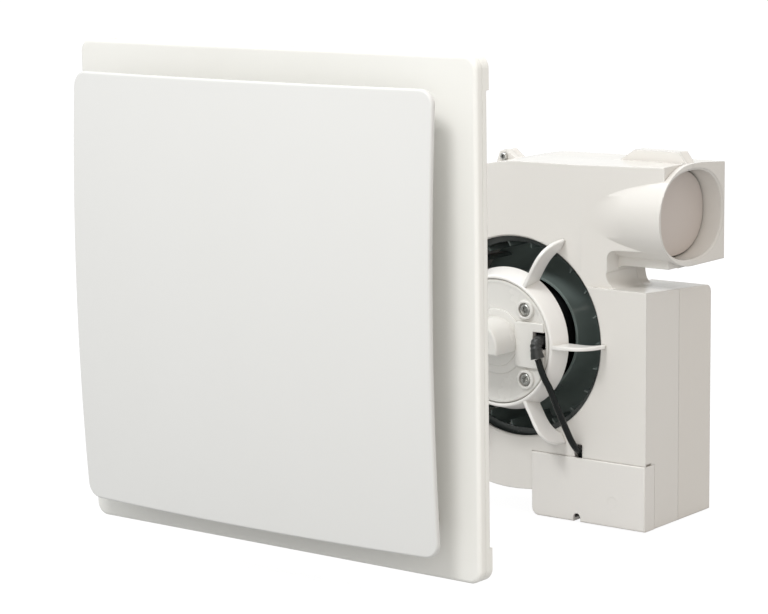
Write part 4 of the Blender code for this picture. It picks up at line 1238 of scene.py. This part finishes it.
# ---- floor and world ----------------------------------------------------------------------------------
def floor_material():
    """Pale paper sweep; it shows nearly white and bounces a little less than it shows."""
    tree = Shader("floor_pale")
    patch = tree.remap(tree.noise(scale=3, detail=2), (0.4, 0.6))
    mat = tree.finish(Base_Color=tree.mix(patch, (0.80, 0.80, 0.80), (0.83, 0.83, 0.83)),
                      Roughness=0.9, Specular_IOR_Level=0.1)
    seen = tree.add("LightPath").outputs["Is Camera Ray"]
    glow = tree.add("Emission", Color=(1.0, 1.0, 1.0),
                    Strength=tree.remap(seen, (0.0, 1.0), to=(0.45, 1.16)))
    share = tree.remap(seen, (0.0, 1.0), to=(0.5, 0.80))
    tree.put(tree.output.inputs[0],
             tree.mix_shaders(share, tree.surface.outputs[0], glow.outputs[0]))
    return mat


def build_floor():
    half, z = 30000, -116.0
    corners = [(-half, -half, z), (half, -half, z), (half, half, z), (-half, half, z)]
    return mesh("floor", corners, [(0, 1, 2, 3)], floor_material())


def build_world():
    """Studio glow: brighter above and behind, warmer and dimmer to +X; the camera sees white."""
    world = bpy.data.worlds.new("studio")
    bpy.context.scene.world = world
    world.use_nodes = True
    tree = Nodes(world.node_tree)
    output = tree.add("OutputWorld")
    direction = tree.add("SeparateXYZ", Vector=tree.add("TexCoord").outputs["Generated"])
    side = tree.remap(direction.outputs["X"], (0.0, 0.95), smooth=True)
    up = tree.remap(direction.outputs["Z"], (0.0, 0.95), smooth=True)
    tint = tree.mix(side, (0.985, 1.0, 1.0), (1.0, 0.91, 0.82))
    level = tree.math("ADD", tree.math("MULTIPLY", up, 0.48), 0.60)
    dimming = tree.math("SUBTRACT", 1.0, tree.math("MULTIPLY", side, 0.12))
    level = tree.math("MULTIPLY", level, dimming)
    behind = tree.math("POWER", tree.math("MAXIMUM", direction.outputs["Y"], 0.0), 2.0)
    level = tree.math("ADD", level, tree.math("MULTIPLY", behind, 0.40))
    glow = tree.add("Background", Color=tint, Strength=level)
    paper = tree.add("Background", Color=(1.0, 1.0, 1.0), Strength=1.02)
    seen = tree.add("LightPath").outputs["Is Camera Ray"]
    tree.put(output.inputs[0], tree.mix_shaders(seen, glow.outputs[0], paper.outputs[0]))


floor = build_floor()
build_world()


# ---- lights -------------------------------------------------------------------------------------------
def area(name, *, place, target, size, power, colour, group, receivers=None):
    """Area light in mm and watts; group casts the shadows and, unless receivers is given, is lit."""
    lamp = bpy.data.lights.new(name, "AREA")
    lamp.shape = "RECTANGLE"
    lamp.size, lamp.size_y = size[0] * MM, size[1] * MM
    lamp.energy = power
    lamp.color = colour
    ob = bpy.data.objects.new(name, lamp)
    bpy.context.scene.collection.objects.link(ob)
    ob.location = Vector(place) * MM
    ob.rotation_mode = "QUATERNION"
    ob.rotation_quaternion = (Vector(target) - Vector(place)).to_track_quat("-Z", "Y")
    ob.light_linking.receiver_collection = receivers or group
    ob.light_linking.blocker_collection = group


# each half is lit as if it stood alone, so the facade doesn't shade the unit behind it
facade_group = bpy.data.collections.new("lit_facade")
unit_group = bpy.data.collections.new("lit_unit")
frame_group = bpy.data.collections.new("lit_frame")
for ob in bpy.data.objects:
    if ob.type == "MESH" and ob is not floor:
        on_facade = ob.get("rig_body") in ("facade", "plate", "filter")
        (facade_group if on_facade else unit_group).objects.link(ob)
        if ob.name.startswith("facade_frame"):
            frame_group.objects.link(ob)

area("key_facade", place=(255, -1500, 1480), target=(-40, -270, 46), size=(560, 420),
     power=17.0, colour=(1.0, 0.995, 0.98), group=facade_group)
area("fill_frame", place=(1080, -1080, 150), target=(-40, -240, 46), size=(1300, 1000),
     power=4.2, colour=(1.0, 0.995, 0.97), group=facade_group, receivers=frame_group)
area("key_unit", place=(-200, -1300, 1600), target=(0, -60, 0), size=(600, 420),
     power=17.0, colour=(1.0, 0.995, 0.985), group=unit_group)
area("fill_unit", place=(800, -1560, 250), target=(0, -60, 0), size=(1500, 1100),
     power=5.0, colour=(1.0, 0.985, 0.965), group=unit_group)
area("streak_unit", place=(-1020, -170, 1520), target=(60, -70, 90), size=(150, 420),
     power=2.4, colour=(1.0, 1.0, 1.0), group=unit_group)

# ---- camera -------------------------------------------------------------------------------------------
CAMERA_PLACE = (0.97129, -1.45311, 0.30767)  # metres
AZIMUTH, ELEVATION, ROLL = 0.660701, 0.195751, -0.015072  # radians


def build_camera():
    backward = Vector((math.sin(AZIMUTH) * math.cos(ELEVATION),
                       -math.cos(AZIMUTH) * math.cos(ELEVATION), math.sin(ELEVATION)))
    level = Vector((math.cos(AZIMUTH), math.sin(AZIMUTH), 0.0))
    upright = backward.cross(level)
    right = level * math.cos(ROLL) + upright * math.sin(ROLL)
    up = upright * math.cos(ROLL) - level * math.sin(ROLL)
    data = bpy.data.cameras.new("camera")
    camera = bpy.data.objects.new("camera", data)
    bpy.context.scene.collection.objects.link(camera)
    rows = list(zip(right, up, backward, CAMERA_PLACE))
    camera.matrix_world = Matrix((*rows, (0, 0, 0, 1)))
    data.sensor_width = 36.0
    data.lens = 125.29
    data.shift_x, data.shift_y = -0.01398, 0.09228
    data.clip_start, data.clip_end = 0.05, 100.0
    bpy.context.scene.camera = camera


build_camera()
bpy.context.scene.view_settings.view_transform = "Standard"
bpy.context.scene.view_settings.look = "None"
